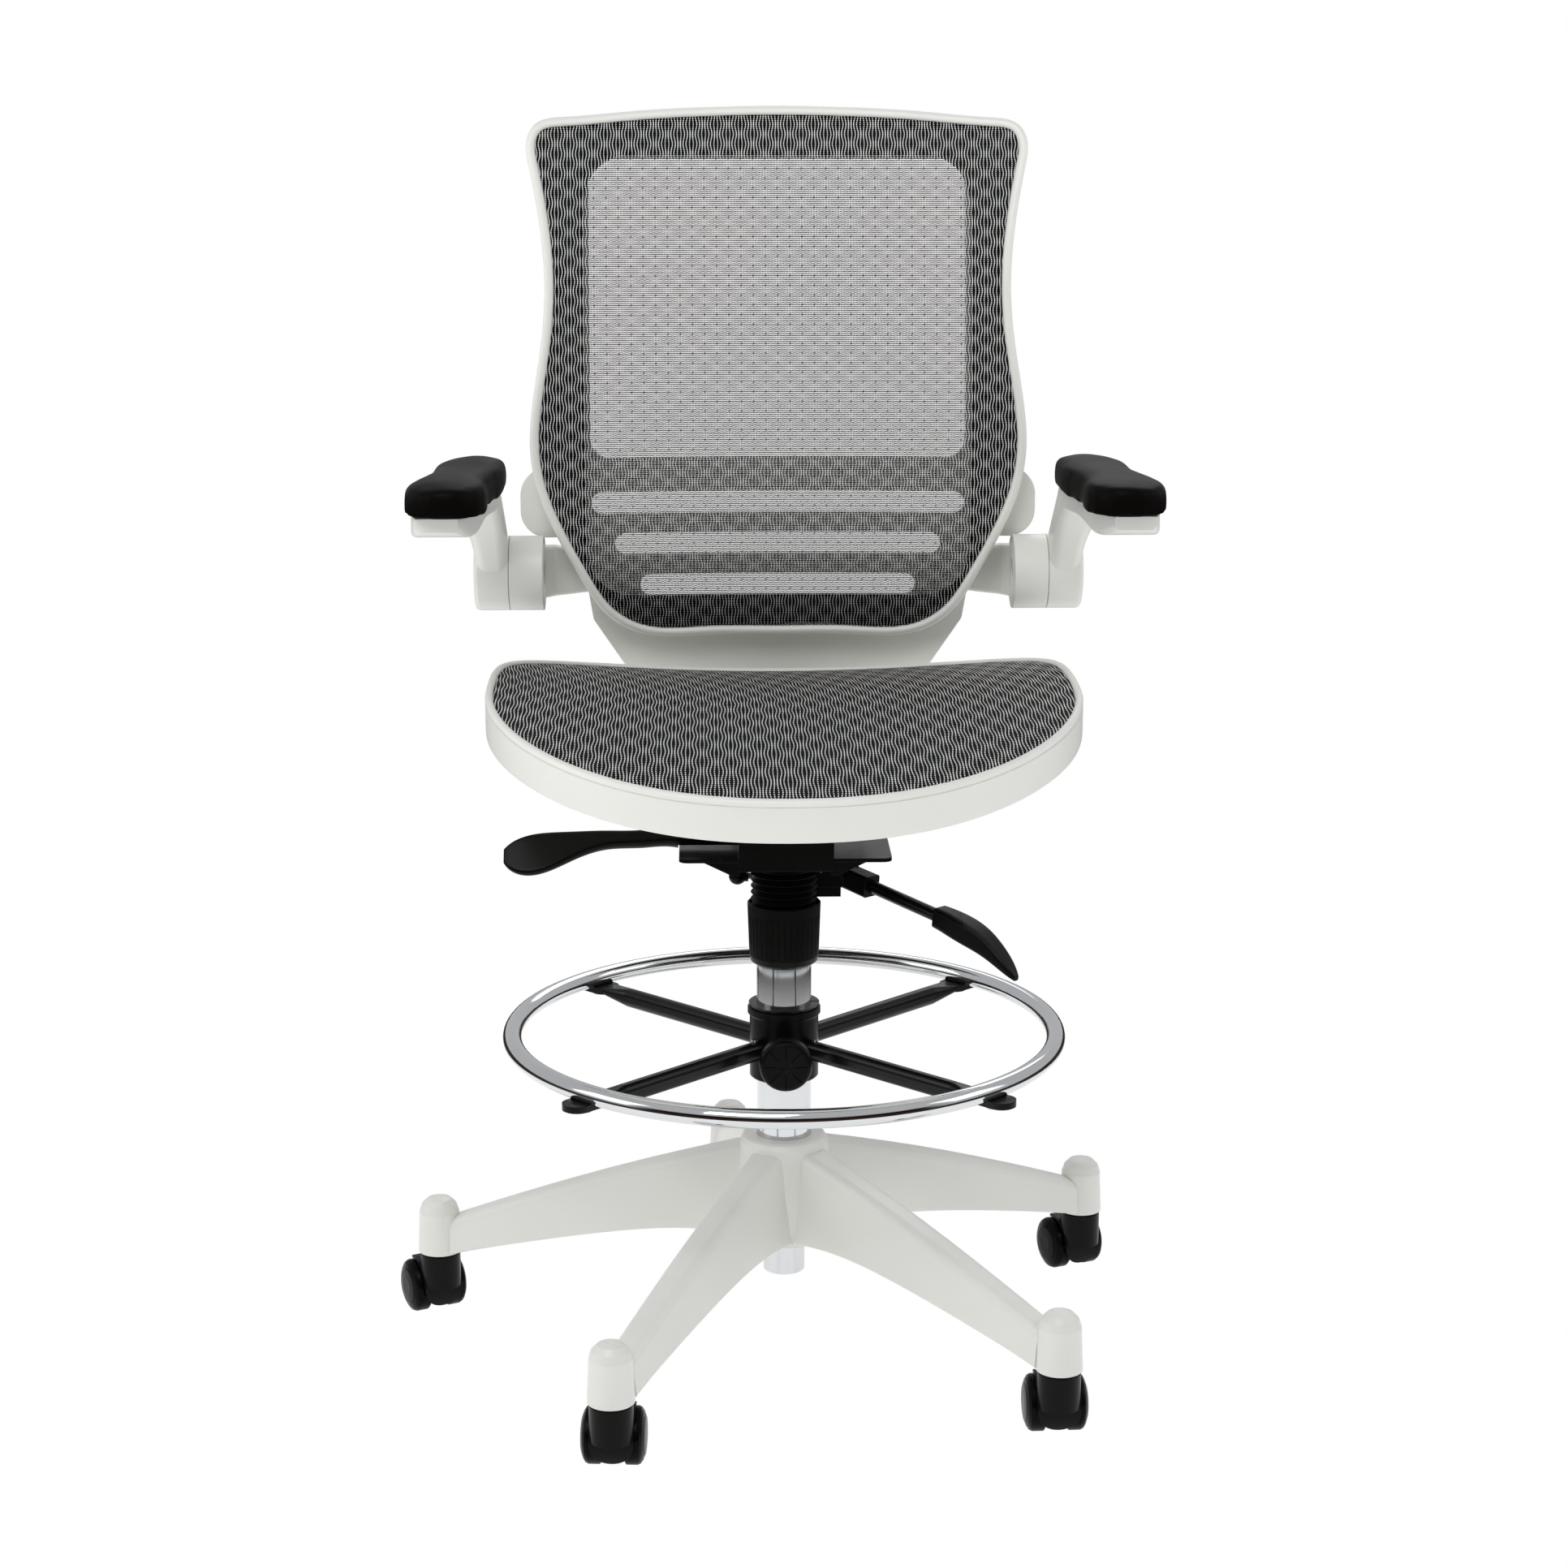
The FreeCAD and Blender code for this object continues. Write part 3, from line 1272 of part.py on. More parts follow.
nodes["mechanism_housing"] = make_housing()
nodes["housing_pins"] = Part.makeCompound([tilt_pin(), rocker_pin()])
nodes["tilt_springs"] = make_tilt_spring()
nodes["socket_cup"] = make_socket_cup()
nodes["lever_bracket"] = make_lever_bracket()
nodes["lever_shaft"] = make_lever_shaft()
nodes["lever_ball"] = make_lever_ball()
nodes["lever_socket"] = make_lever_socket(nodes["lever_shaft"])
nodes["lever_rod"] = make_lever_rod()
nodes["lever_grip"] = make_lever_grip(nodes["lever_rod"])
nodes["release_rocker"] = make_rocker()
nodes["tilt_paddle"] = make_paddle()

nodes["seat_plate"] = make_seat_plate()
nodes["seat_frame"] = make_seat_frame()
nodes["seat_mesh"] = make_seat_mesh()
nodes["seat_pan"] = make_seat_pan()
nodes["back_frame"] = make_back_frame()
nodes["back_mesh"] = make_back_mesh()
nodes["mesh_carrier"] = make_mesh_carrier()
nodes["rear_shell"] = make_rear_shell()
nodes["back_bar"] = make_back_bar(nodes["rear_shell"])
nodes["frame_bolts"] = make_frame_bolts()

right_bracket = make_arm_bracket(nodes["rear_shell"], nodes["back_frame"])
right_arm = make_arm()
right_pad = make_arm_pad(right_arm)
nodes["arm_brackets"] = Part.makeCompound([right_bracket, mirrored(right_bracket)])
nodes["right_arm"] = right_arm
nodes["right_arm_pad"] = right_pad
nodes["left_arm"] = mirrored(right_arm)
nodes["left_arm_pad"] = mirrored(right_pad)

for name, shape in nodes.items():
    if not shape.isValid():
        print("invalid shape:", name)
    print(f"{name}: {len(shape.Solids)} solids, {shape.Volume / 1000:.1f} cm3")
    shape.exportStep(f"parts/{name}.step")
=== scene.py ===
"""Drafting chair: the looks of a tall swivel chair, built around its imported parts.

Metres, in the parts' own frame.
"""

import math

import bmesh
import bpy
import numpy as np
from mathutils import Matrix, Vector


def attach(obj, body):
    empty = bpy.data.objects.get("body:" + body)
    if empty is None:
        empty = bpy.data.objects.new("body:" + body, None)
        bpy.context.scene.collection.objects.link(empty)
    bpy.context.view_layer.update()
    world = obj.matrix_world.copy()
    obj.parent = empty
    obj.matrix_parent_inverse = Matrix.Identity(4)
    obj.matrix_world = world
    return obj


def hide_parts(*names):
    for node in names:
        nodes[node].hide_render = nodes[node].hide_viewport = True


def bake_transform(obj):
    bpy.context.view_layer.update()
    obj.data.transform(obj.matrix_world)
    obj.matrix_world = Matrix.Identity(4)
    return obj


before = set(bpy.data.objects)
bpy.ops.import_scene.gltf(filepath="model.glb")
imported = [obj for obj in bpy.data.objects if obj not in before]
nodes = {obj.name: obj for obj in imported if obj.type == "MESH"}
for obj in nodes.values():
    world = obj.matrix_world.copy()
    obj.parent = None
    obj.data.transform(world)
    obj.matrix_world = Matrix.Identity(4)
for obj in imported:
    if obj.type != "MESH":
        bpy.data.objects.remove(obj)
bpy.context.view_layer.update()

# ---- the studio ----
# The chair stands on a white sweep. One large softbox hangs over its front, one stands at each side and one
# behind. The room behind the camera is dim low down, which gives the chrome something to reflect.
camera_place = (-0.0695, -2.6538, 1.1335)
camera_tilt = 77.2
camera_turn = -1.5
camera_lens = 69.06
room_light = 0.64
dim_from_height, dim_full_height = 0.44, 0.28
dim_from_side, dim_full_side = -0.35, -0.60
paper_edge, paper_end = 0.75, 1.25
paper_glow_near, paper_glow_far = 0.6, 1.0
floor_half = 30
lamp_aim = Vector((0, 0, 0.6))
plain_white = (1.0, 1.0, 1.0, 1.0)


def rgb(code):
    """Linear colour of an sRGB hex code."""
    parts = [int(code[i:i + 2], 16) / 255 for i in (1, 3, 5)]
    return tuple([c / 12.92 if c <= 0.04045 else ((c + 0.055) / 1.055) ** 2.4 for c in parts] + [1.0])


def add_node(tree, kind, inputs=None, **settings):
    """A node with its settings; each input takes a value or another node's output."""
    made = tree.nodes.new(kind)
    for name, value in settings.items():
        setattr(made, name, value)
    for name, value in (inputs or {}).items():
        if isinstance(value, bpy.types.NodeSocket):
            tree.links.new(value, made.inputs[name])
        else:
            made.inputs[name].default_value = value
    return made


camera = bpy.data.objects.new("camera", bpy.data.cameras.new("camera"))
bpy.context.scene.collection.objects.link(camera)
bpy.context.scene.camera = camera
camera.data.lens = camera_lens
camera.location = camera_place
camera.rotation_euler = (math.radians(camera_tilt), 0, math.radians(camera_turn))
bpy.context.scene.view_settings.view_transform = "Standard"

world = bpy.data.worlds.new("studio")
bpy.context.scene.world = world
world.use_nodes = True
world.node_tree.nodes.clear()
direction = add_node(world.node_tree, "ShaderNodeTexCoord").outputs["Generated"]
axes = add_node(world.node_tree, "ShaderNodeSeparateXYZ", {"Vector": direction})
# The dim side of the room lies low down behind the camera.
height_band = add_node(world.node_tree, "ShaderNodeMapRange", {
    "Value": axes.outputs["Z"], "From Min": dim_from_height, "From Max": dim_full_height},
    interpolation_type="SMOOTHSTEP")
side_band = add_node(world.node_tree, "ShaderNodeMapRange", {
    "Value": axes.outputs["Y"], "From Min": dim_from_side, "From Max": dim_full_side},
    interpolation_type="SMOOTHSTEP")
dim = add_node(world.node_tree, "ShaderNodeMath", {
    0: height_band.outputs["Result"], 1: side_band.outputs["Result"]}, operation="MULTIPLY")
room = add_node(world.node_tree, "ShaderNodeMixRGB", {
    "Fac": dim.outputs["Value"], "Color1": rgb("#EDEEF0"), "Color2": rgb("#281D16")})
seen = add_node(world.node_tree, "ShaderNodeLightPath").outputs["Is Camera Ray"]
backdrop = add_node(world.node_tree, "ShaderNodeMixRGB", {
    "Fac": seen, "Color1": room.outputs["Color"], "Color2": plain_white})
strength = add_node(world.node_tree, "ShaderNodeMapRange", {"Value": seen, "To Min": room_light, "To Max": 1.0})
sky = add_node(world.node_tree, "ShaderNodeBackground", {
    "Color": backdrop.outputs["Color"], "Strength": strength.outputs["Result"]})
add_node(world.node_tree, "ShaderNodeOutputWorld", {"Surface": sky.outputs["Background"]})

# Name, place, width in metres, watts.
softboxes = [
    ("front_softbox", (-0.7, -2.0, 3.0), 1.6, 34),
    ("left_softbox", (-2.6, -0.6, 1.6), 1.4, 11),
    ("right_softbox", (2.6, -0.4, 1.8), 1.4, 8),
    ("rear_softbox", (0.6, 2.6, 2.6), 1.8, 15),
]
for name, place, size, power in softboxes:
    lamp = bpy.data.lights.new(name, "AREA")
    lamp.size = size
    lamp.energy = power
    box = bpy.data.objects.new(name, lamp)
    bpy.context.scene.collection.objects.link(box)
    box.location = place
    box.rotation_euler = (lamp_aim - Vector(place)).to_track_quat("-Z", "Y").to_euler()

floor_mesh = bmesh.new()
bmesh.ops.create_grid(floor_mesh, x_segments=2, y_segments=2, size=floor_half)
floor = bpy.data.objects.new("floor", bpy.data.meshes.new("floor"))
floor_mesh.to_mesh(floor.data)
floor_mesh.free()
bpy.context.scene.collection.objects.link(floor)
paper = bpy.data.materials.new("matt_white_paper")
paper.use_nodes = True
paper.node_tree.nodes.clear()
# The sweep is lit paper round the chair; past its edge, mirror-like surfaces meet the studio's dark floor.
spot = add_node(paper.node_tree, "ShaderNodeTexCoord").outputs["Object"]
reach = add_node(paper.node_tree, "ShaderNodeVectorMath", {0: spot}, operation="LENGTH").outputs["Value"]
past_edge = add_node(paper.node_tree, "ShaderNodeMapRange", {
    "Value": reach, "From Min": paper_edge, "From Max": paper_end}).outputs["Result"]
mirrored_ray = add_node(paper.node_tree, "ShaderNodeLightPath").outputs["Is Glossy Ray"]
dark = add_node(paper.node_tree, "ShaderNodeMath", {
    0: past_edge, 1: mirrored_ray}, operation="MULTIPLY").outputs["Value"]
paper_colour = add_node(paper.node_tree, "ShaderNodeMixRGB", {
    "Fac": dark, "Color1": rgb("#C8C8C8"), "Color2": rgb("#33251C")})
glow_by_place = add_node(paper.node_tree, "ShaderNodeMapRange", {
    "Value": past_edge, "To Min": paper_glow_near, "To Max": paper_glow_far}).outputs["Result"]
paper_glow = add_node(paper.node_tree, "ShaderNodeMapRange", {
    "Value": dark, "To Min": glow_by_place, "To Max": 0.0})
paper_skin = add_node(paper.node_tree, "ShaderNodeBsdfPrincipled", {
    "Base Color": paper_colour.outputs["Color"], "Roughness": 0.9, "Specular IOR Level": 0.1,
    "Emission Color": plain_white, "Emission Strength": paper_glow.outputs["Result"]})
# Seen straight or through the mesh, it is plain white, as bright as the backdrop.
straight = add_node(paper.node_tree, "ShaderNodeLightPath").outputs["Is Camera Ray"]
glow = add_node(paper.node_tree, "ShaderNodeEmission", {"Color": plain_white, "Strength": 1.0})
paper_face = add_node(paper.node_tree, "ShaderNodeMixShader", {
    0: straight, 1: paper_skin.outputs["BSDF"], 2: glow.outputs["Emission"]})
add_node(paper.node_tree, "ShaderNodeOutputMaterial", {"Surface": paper_face.outputs["Shader"]})
floor.data.materials.append(paper)

# ---- star base ----
# The five-legged base is one injection moulding of glass-filled nylon in off-white, hollow and ribbed
# underneath, with a fine satin skin from the mould. Each leg ends in a dome that takes a caster's steel stem.
gloss_spread = 0.035


def skin(name, colour, other, rough, grain_mm, grain_high_mm, edge_mm,
         shine=0.5, metal=0.0, patch_mm=90.0):
    """Hard skin with a fine grain, slight patches of tone and gloss, and softly rounded edges."""
    material = bpy.data.materials.new(name)
    material.use_nodes = True
    tree = material.node_tree
    tree.nodes.clear()
    place = add_node(tree, "ShaderNodeTexCoord").outputs["Object"]
    patches = add_node(tree, "ShaderNodeTexNoise", {"Vector": place, "Scale": 1000 / patch_mm, "Detail": 3.0})
    grain = add_node(tree, "ShaderNodeTexNoise", {"Vector": place, "Scale": 1000 / grain_mm, "Detail": 2.0})
    tone = add_node(tree, "ShaderNodeMixRGB", {
        "Fac": patches.outputs["Fac"], "Color1": rgb(colour), "Color2": rgb(other)})
    gloss = add_node(tree, "ShaderNodeMapRange", {
        "Value": patches.outputs["Fac"], "From Min": 0.3, "From Max": 0.7,
        "To Min": rough - gloss_spread, "To Max": rough + gloss_spread})
    rounded = add_node(tree, "ShaderNodeBevel", {"Radius": edge_mm / 1000}, samples=4)
    relief = add_node(tree, "ShaderNodeBump", {
        "Strength": 1.0, "Distance": grain_high_mm / 1000, "Height": grain.outputs["Fac"],
        "Normal": rounded.outputs["Normal"]})
    surface = add_node(tree, "ShaderNodeBsdfPrincipled", {
        "Base Color": tone.outputs["Color"], "Roughness": gloss.outputs["Result"], "Metallic": metal,
        "Specular IOR Level": shine, "Normal": relief.outputs["Normal"]})
    add_node(tree, "ShaderNodeOutputMaterial", {"Surface": surface.outputs["BSDF"]})
    return material


def finish_parts(material, names):
    """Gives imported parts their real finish."""
    for name in names:
        part = nodes[name]
        if not part.material_slots:
            part.data.materials.append(material)
        for place in part.material_slots:
            place.link = "OBJECT"
            place.material = material


# Glass-filled nylon, moulded: a warm white, satin, with faint patches where the melt flowed.
white_nylon = skin("moulded_white_nylon", "#E6E6E1", "#DEDED8", 0.36, 1.6, 0.025, 1.6)
finish_parts(white_nylon, ["star_base"])

# ---- casters ----
# Each caster is a moulded nylon hood with two solid nylon wheels on a steel axle; its zinc-plated stem is
# pressed up into the base. The wheels are turned smooth on the tread and domed on their faces.

# Black nylon, moulded: nearly black, with a soft gloss.
black_nylon = skin("moulded_black_nylon", "#070706", "#0A0A09", 0.32, 1.4, 0.02, 1.0, shine=0.12)
# The wheels' nylon is smoother.
wheel_nylon = skin("smooth_black_wheel_nylon", "#040404", "#060606", 0.24, 2.0, 0.015, 0.8, shine=0.06)
# Zinc plate over steel: bright, slightly cloudy grey.
zinc_plate = skin("zinc_plated_steel", "#C3C5C6", "#AEB0B1", 0.24, 2.2, 0.012, 0.5, metal=1.0, patch_mm=25)
finish_parts(black_nylon, [f"caster_hood_{n}" for n in range(1, 6)])
finish_parts(wheel_nylon, [
    f"caster_wheel_{n}_{side}" for n in range(1, 6) for side in ("left", "right")])
finish_parts(zinc_plate, ["caster_stems"])

# ---- gas lift ----
# The outer tube is chromed steel pressed into the hub. A gas cylinder slides in a plastic bush in its mouth,
# on a piston rod that stands on a thrust bearing. A ribbed plastic collar takes the folded bellows.

# Chrome plate: a polished mirror, faintly blue-grey.
chrome = skin("polished_chrome_plate", "#DADCDD", "#D2D4D6", 0.075, 30.0, 0.02, 0.4, metal=1.0)
# Acetal: black and slippery, turned smooth.
acetal = skin("smooth_black_acetal", "#0C0C0C", "#111110", 0.28, 2.0, 0.01, 0.6, shine=0.2)
finish_parts(chrome, ["column_tube"])
finish_parts(acetal, ["guide_bush", "ring_liner"])
finish_parts(black_nylon, ["column_collar"])
finish_parts(zinc_plate, ["thrust_bearing", "piston_rod", "gas_cylinder", "valve_button"])

# ---- bellows ----
# A thin pleated sleeve of black rubber hides the cylinder. Twelve pleats lie folded down in the collar, eight
# stand open above it, and the sleeve draws out as the seat rises. It is blow-moulded and snaps on at both ends.
bellows_low, bellows_high = 0.3793, 0.469
bellows_mouth = 0.421
peak_radius, valley_radius = 0.0304, 0.0243
peak_round, valley_round = 0.0007, 0.0006
tip_share = 0.12
sleeve_wall = 0.0011
folded_pleats, open_pleats = 12, 8
sleeve_steps = 72


def piece_from(bm, name, material, smooth_deg=35.0):
    """Object at the origin from a finished bmesh, shaded smooth except over sharp edges."""
    mesh = bpy.data.meshes.new(name)
    bm.to_mesh(mesh)
    bm.free()
    mesh.materials.append(material)
    mesh.shade_smooth()
    mesh.set_sharp_from_angle(angle=math.radians(smooth_deg))
    made = bpy.data.objects.new(name, mesh)
    bpy.context.scene.collection.objects.link(made)
    return made


def spun(bm, profile, steps):
    """Closed profile of (radius, z) points turned about the vertical axis."""
    verts = [bm.verts.new((r, 0, z)) for r, z in profile]
    edges = [bm.edges.new((a, b)) for a, b in zip(verts, verts[1:] + verts[:1])]
    bmesh.ops.spin(
        bm, geom=verts + edges, cent=(0, 0, 0), axis=(0, 0, 1), angle=2 * math.pi, steps=steps, use_merge=True)
    bmesh.ops.remove_doubles(bm, verts=bm.verts, dist=1e-6)
    bmesh.ops.recalc_face_normals(bm, faces=bm.faces)


pleat_line = [(valley_radius, bellows_low)]
stretches = [(folded_pleats, bellows_low, bellows_mouth), (open_pleats, bellows_mouth, bellows_high)]
for count, low, high in stretches:
    pitch = (high - low) / count
    tip = tip_share * pitch
    for i in range(count):
        middle = low + pitch * (i + 0.5)
        top = low + pitch * (i + 1)
        pleat_line += [
            (peak_radius - peak_round, middle - tip), (peak_radius, middle),
            (peak_radius - peak_round, middle + tip),
            (valley_radius + valley_round, top - tip), (valley_radius, top),
            (valley_radius + valley_round, top + tip)]
pleat_line = pleat_line[:-1]
sleeve = bmesh.new()
spun(sleeve, pleat_line + [(r - sleeve_wall, z) for r, z in reversed(pleat_line)], sleeve_steps)
# Moulded rubber: dull black with a soft sheen on the pleats' edges.
rubber = skin("moulded_black_rubber", "#080808", "#0C0C0B", 0.42, 1.2, 0.02, 0.3, shine=0.16)
bellows = piece_from(sleeve, "pleated_bellows", rubber, 60)
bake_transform(bellows)
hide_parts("bellows")

# ---- foot ring ----
# A steel tube is bent to a full ring, welded, and chromed. Four powder-coated spokes with flattened ends carry
# it, bolted from below; their plastic-lined hub slides on the column and is clamped by a hand knob.

# Powder coat: black, satin, with the faint ripple of a baked coat.
powder_coat = skin("black_powder_coat", "#080808", "#0D0D0C", 0.25, 2.4, 0.03, 0.9, shine=0.24)
finish_parts(chrome, ["foot_ring"])
finish_parts(powder_coat, ["ring_spokes"])
finish_parts(black_nylon, ["ring_hub", "clamp_knob"])
finish_parts(zinc_plate, ["ring_screws", "clamp_screw"])

# ---- tilt mechanism ----
# A pressed-steel pan welded round a tapered socket grips the top of the gas cylinder. It holds the tilt pin
# with its two torsion springs, a bright half bowl over the bellows' end, the lever's block, and the rocker
# over the valve.
finish_parts(powder_coat, ["mechanism_housing", "release_rocker"])
finish_parts(zinc_plate, ["housing_pins", "tilt_springs"])
finish_parts(chrome, ["socket_cup"])
finish_parts(black_nylon, ["lever_bracket"])

# ---- levers ----
# The height lever is a black rod in a moulded elbow, on a chromed cross shaft with a ball at its far end, and
# has a moulded grip with a softer inlay. The tilt-lock lever on the other side is one moulding.
inlay_slope_from, inlay_slope_full = 0.50, 0.56
inlay_start, inlay_full = 0.1560, 0.1566
groove_deep = 0.0005
finish_parts(chrome, ["lever_shaft"])
finish_parts(powder_coat, ["lever_rod"])
finish_parts(black_nylon, ["lever_ball", "lever_socket", "tilt_paddle"])


def inlaid_grip(name):
    """Hard black shell with a softer, greyer inlay along its upper face and a fine groove between them."""
    material = skin(name, "#070706", "#0A0A09", 0.32, 1.4, 0.02, 1.0, shine=0.12)
    tree = material.node_tree
    surface = next(n for n in tree.nodes if n.type == "BSDF_PRINCIPLED")
    relief = next(n for n in tree.nodes if n.type == "BUMP")
    up = add_node(tree, "ShaderNodeSeparateXYZ", {
        "Vector": add_node(tree, "ShaderNodeNewGeometry").outputs["Normal"]}).outputs["Z"]
    along = add_node(tree, "ShaderNodeSeparateXYZ", {
        "Vector": add_node(tree, "ShaderNodeTexCoord").outputs["Object"]}).outputs["X"]
    top = add_node(tree, "ShaderNodeMapRange", {
        "Value": up, "From Min": inlay_slope_from, "From Max": inlay_slope_full}).outputs["Result"]
    near = add_node(tree, "ShaderNodeMapRange", {
        "Value": along, "From Min": inlay_start, "From Max": inlay_full}).outputs["Result"]
    inlay = add_node(tree, "ShaderNodeMath", {0: top, 1: near}, operation="MULTIPLY").outputs["Value"]
    colour = add_node(tree, "ShaderNodeMixRGB", {
        "Fac": inlay, "Color1": surface.inputs["Base Color"].links[0].from_socket, "Color2": rgb("#1E1F1E")})
    tree.links.new(colour.outputs["Color"], surface.inputs["Base Color"])
    step = add_node(tree, "ShaderNodeBump", {
        "Strength": 0.8, "Distance": groove_deep, "Height": inlay, "Normal": relief.outputs["Normal"]})
    tree.links.new(step.outputs["Normal"], surface.inputs["Normal"])
    return material


finish_parts(inlaid_grip("black_grip_with_soft_inlay"), ["lever_grip"])

# ---- seat ----
# A white moulded rim with a deep skirt clips round a moulded tray that is screwed to a steel plate. The rim
# holds a stretched panel of knitted mesh: columns of white polyester yarn over a black ground.
seat_half_width, seat_front, seat_rear, seat_middle = 0.268, 0.255, 0.213, 0.020
front_power, rear_power = 2.35, 4.5
seat_crest, crest_curve, crest_middle, side_rise = 0.604, 0.312, 0.060, 0.016
seat_outline_count = 48
rim_steps = 360
steps_per_span = 40
seat_tuck, seat_cloth_below = 0.0045, 0.0018
yarn_lean = 0.5
cloth_steps = 96


def seat_height(x, y):
    """Height of the seat's crest line over a point of the floor."""
    return seat_crest - crest_curve * (y - crest_middle) ** 2 + side_rise * (x / seat_half_width) ** 2


def smooth_loop(points, count):
    """Evenly spaced points on the closed cubic spline through the given ones."""
    p = np.array(points, float)
    n = len(p)
    h = np.linalg.norm(np.roll(p, -1, 0) - p, axis=1)
    a = np.zeros((n, n))
    b = np.zeros((n, 2))
    for i in range(n):
        last, after = (i - 1) % n, (i + 1) % n
        a[i, last] += h[last]
        a[i, i] += 2 * (h[last] + h[i])
        a[i, after] += h[i]
        b[i] = 6 * ((p[after] - p[i]) / h[i] - (p[i] - p[last]) / h[last])
    m = np.linalg.solve(a, b)
    fine = []
    for i in range(n):
        after = (i + 1) % n
        t = np.linspace(0, h[i], steps_per_span, endpoint=False)[:, None]
        s = h[i] - t
        fine.append((m[i] * s ** 3 + m[after] * t ** 3) / (6 * h[i])
                    + (p[i] / h[i] - m[i] * h[i] / 6) * s + (p[after] / h[i] - m[after] * h[i] / 6) * t)
    fine = np.concatenate(fine)
    steps = np.linalg.norm(np.roll(fine, -1, 0) - fine, axis=1)
    along = np.concatenate([[0], np.cumsum(steps)])
    closed = np.vstack([fine, fine[:1]])
    even = np.linspace(0, along[-1], count, endpoint=False)
    return np.stack([np.interp(even, along, closed[:, 0]), np.interp(even, along, closed[:, 1])], 1)


def rim_round(name, outline, section, place, material):
    """Rim with an even section: a ring of edges on the outline is pulled once per corner of the section."""
    ahead = np.roll(outline, -1, 0) - np.roll(outline, 1, 0)
    ahead /= np.linalg.norm(ahead, axis=1)[:, None]
    inwards = np.stack([-ahead[:, 1], ahead[:, 0]], 1)
    bm = bmesh.new()
    station = bm.verts.layers.int.new("station")
    ring = bmesh.ops.create_circle(bm, segments=len(outline), radius=1)["verts"]
    for i, vert in enumerate(ring):
        vert[station] = i
    edges = list(bm.edges)
    first = edges
    for k, (inset, depth) in enumerate(section):
        if k:
            made = bmesh.ops.extrude_edge_only(bm, edges=edges)["geom"]
            ring = [g for g in made if isinstance(g, bmesh.types.BMVert)]
            edges = [g for g in made if isinstance(g, bmesh.types.BMEdge)]
            edges = [e for e in edges if all(v in ring for v in e.verts)]
        for vert in ring:
            i = vert[station]
            flat = outline[i] + inwards[i] * inset
            vert.co = place(flat[0], flat[1], depth)
    bmesh.ops.bridge_loops(bm, edges=first + edges)
    bmesh.ops.recalc_face_normals(bm, faces=bm.faces)
    return piece_from(bm, name, material, 40)


front_half = (seat_front + seat_middle, front_power)
rear_half = (seat_rear - seat_middle, rear_power)
seat_points = []
for i in range(seat_outline_count):
    angle = 2 * math.pi * i / seat_outline_count
    c, s = math.cos(angle), math.sin(angle)
    reach, power = rear_half if s > 0 else front_half
    seat_points.append((
        seat_half_width * math.copysign(abs(c) ** (2 / power), c),
        seat_middle + reach * math.copysign(abs(s) ** (2 / power), s)))
seat_line = smooth_loop(seat_points, rim_steps)
# The rim's section as inset from the edge and depth under the crest: rolled lip, parting groove, skirt.
seat_section = [
    (0.0070, 0.0024), (0.0067, 0.0006), (0.0058, -0.0004), (0.0044, -0.0009), (0.0028, -0.0008),
    (0.0014, 0.0), (0.0005, 0.0012), (0.0, 0.0028), (0.0, 0.0046), (0.0005, 0.0051), (0.0, 0.0056),
    (0.0, 0.0200), (0.0001, 0.0330), (0.0006, 0.0350), (0.0018, 0.0359), (0.0034, 0.0357), (0.0046, 0.0346),
    (0.0050, 0.0330), (0.0050, 0.0100), (0.0070, 0.0080),
]
seat_rim = rim_round(
    "seat_rim", seat_line, seat_section, lambda x, y, d: (x, y, seat_height(x, y) - d), white_nylon)
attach(seat_rim, "seat")
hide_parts("seat_frame")
finish_parts(white_nylon, ["seat_pan"])
finish_parts(powder_coat, ["seat_plate"])


# The last of these is how small the white dots are drawn where painted shade darkens the mesh.
yarn_end, oval_thinning, painted_shade_dot_size = 0.37, 0.26, 0.62
knot_clear, knot_full = 0.93, 0.985
thread_clear, thread_full, thread_ripple = 0.33, 0.24, 0.14
dot_clear, dot_full = 1.12, 0.86


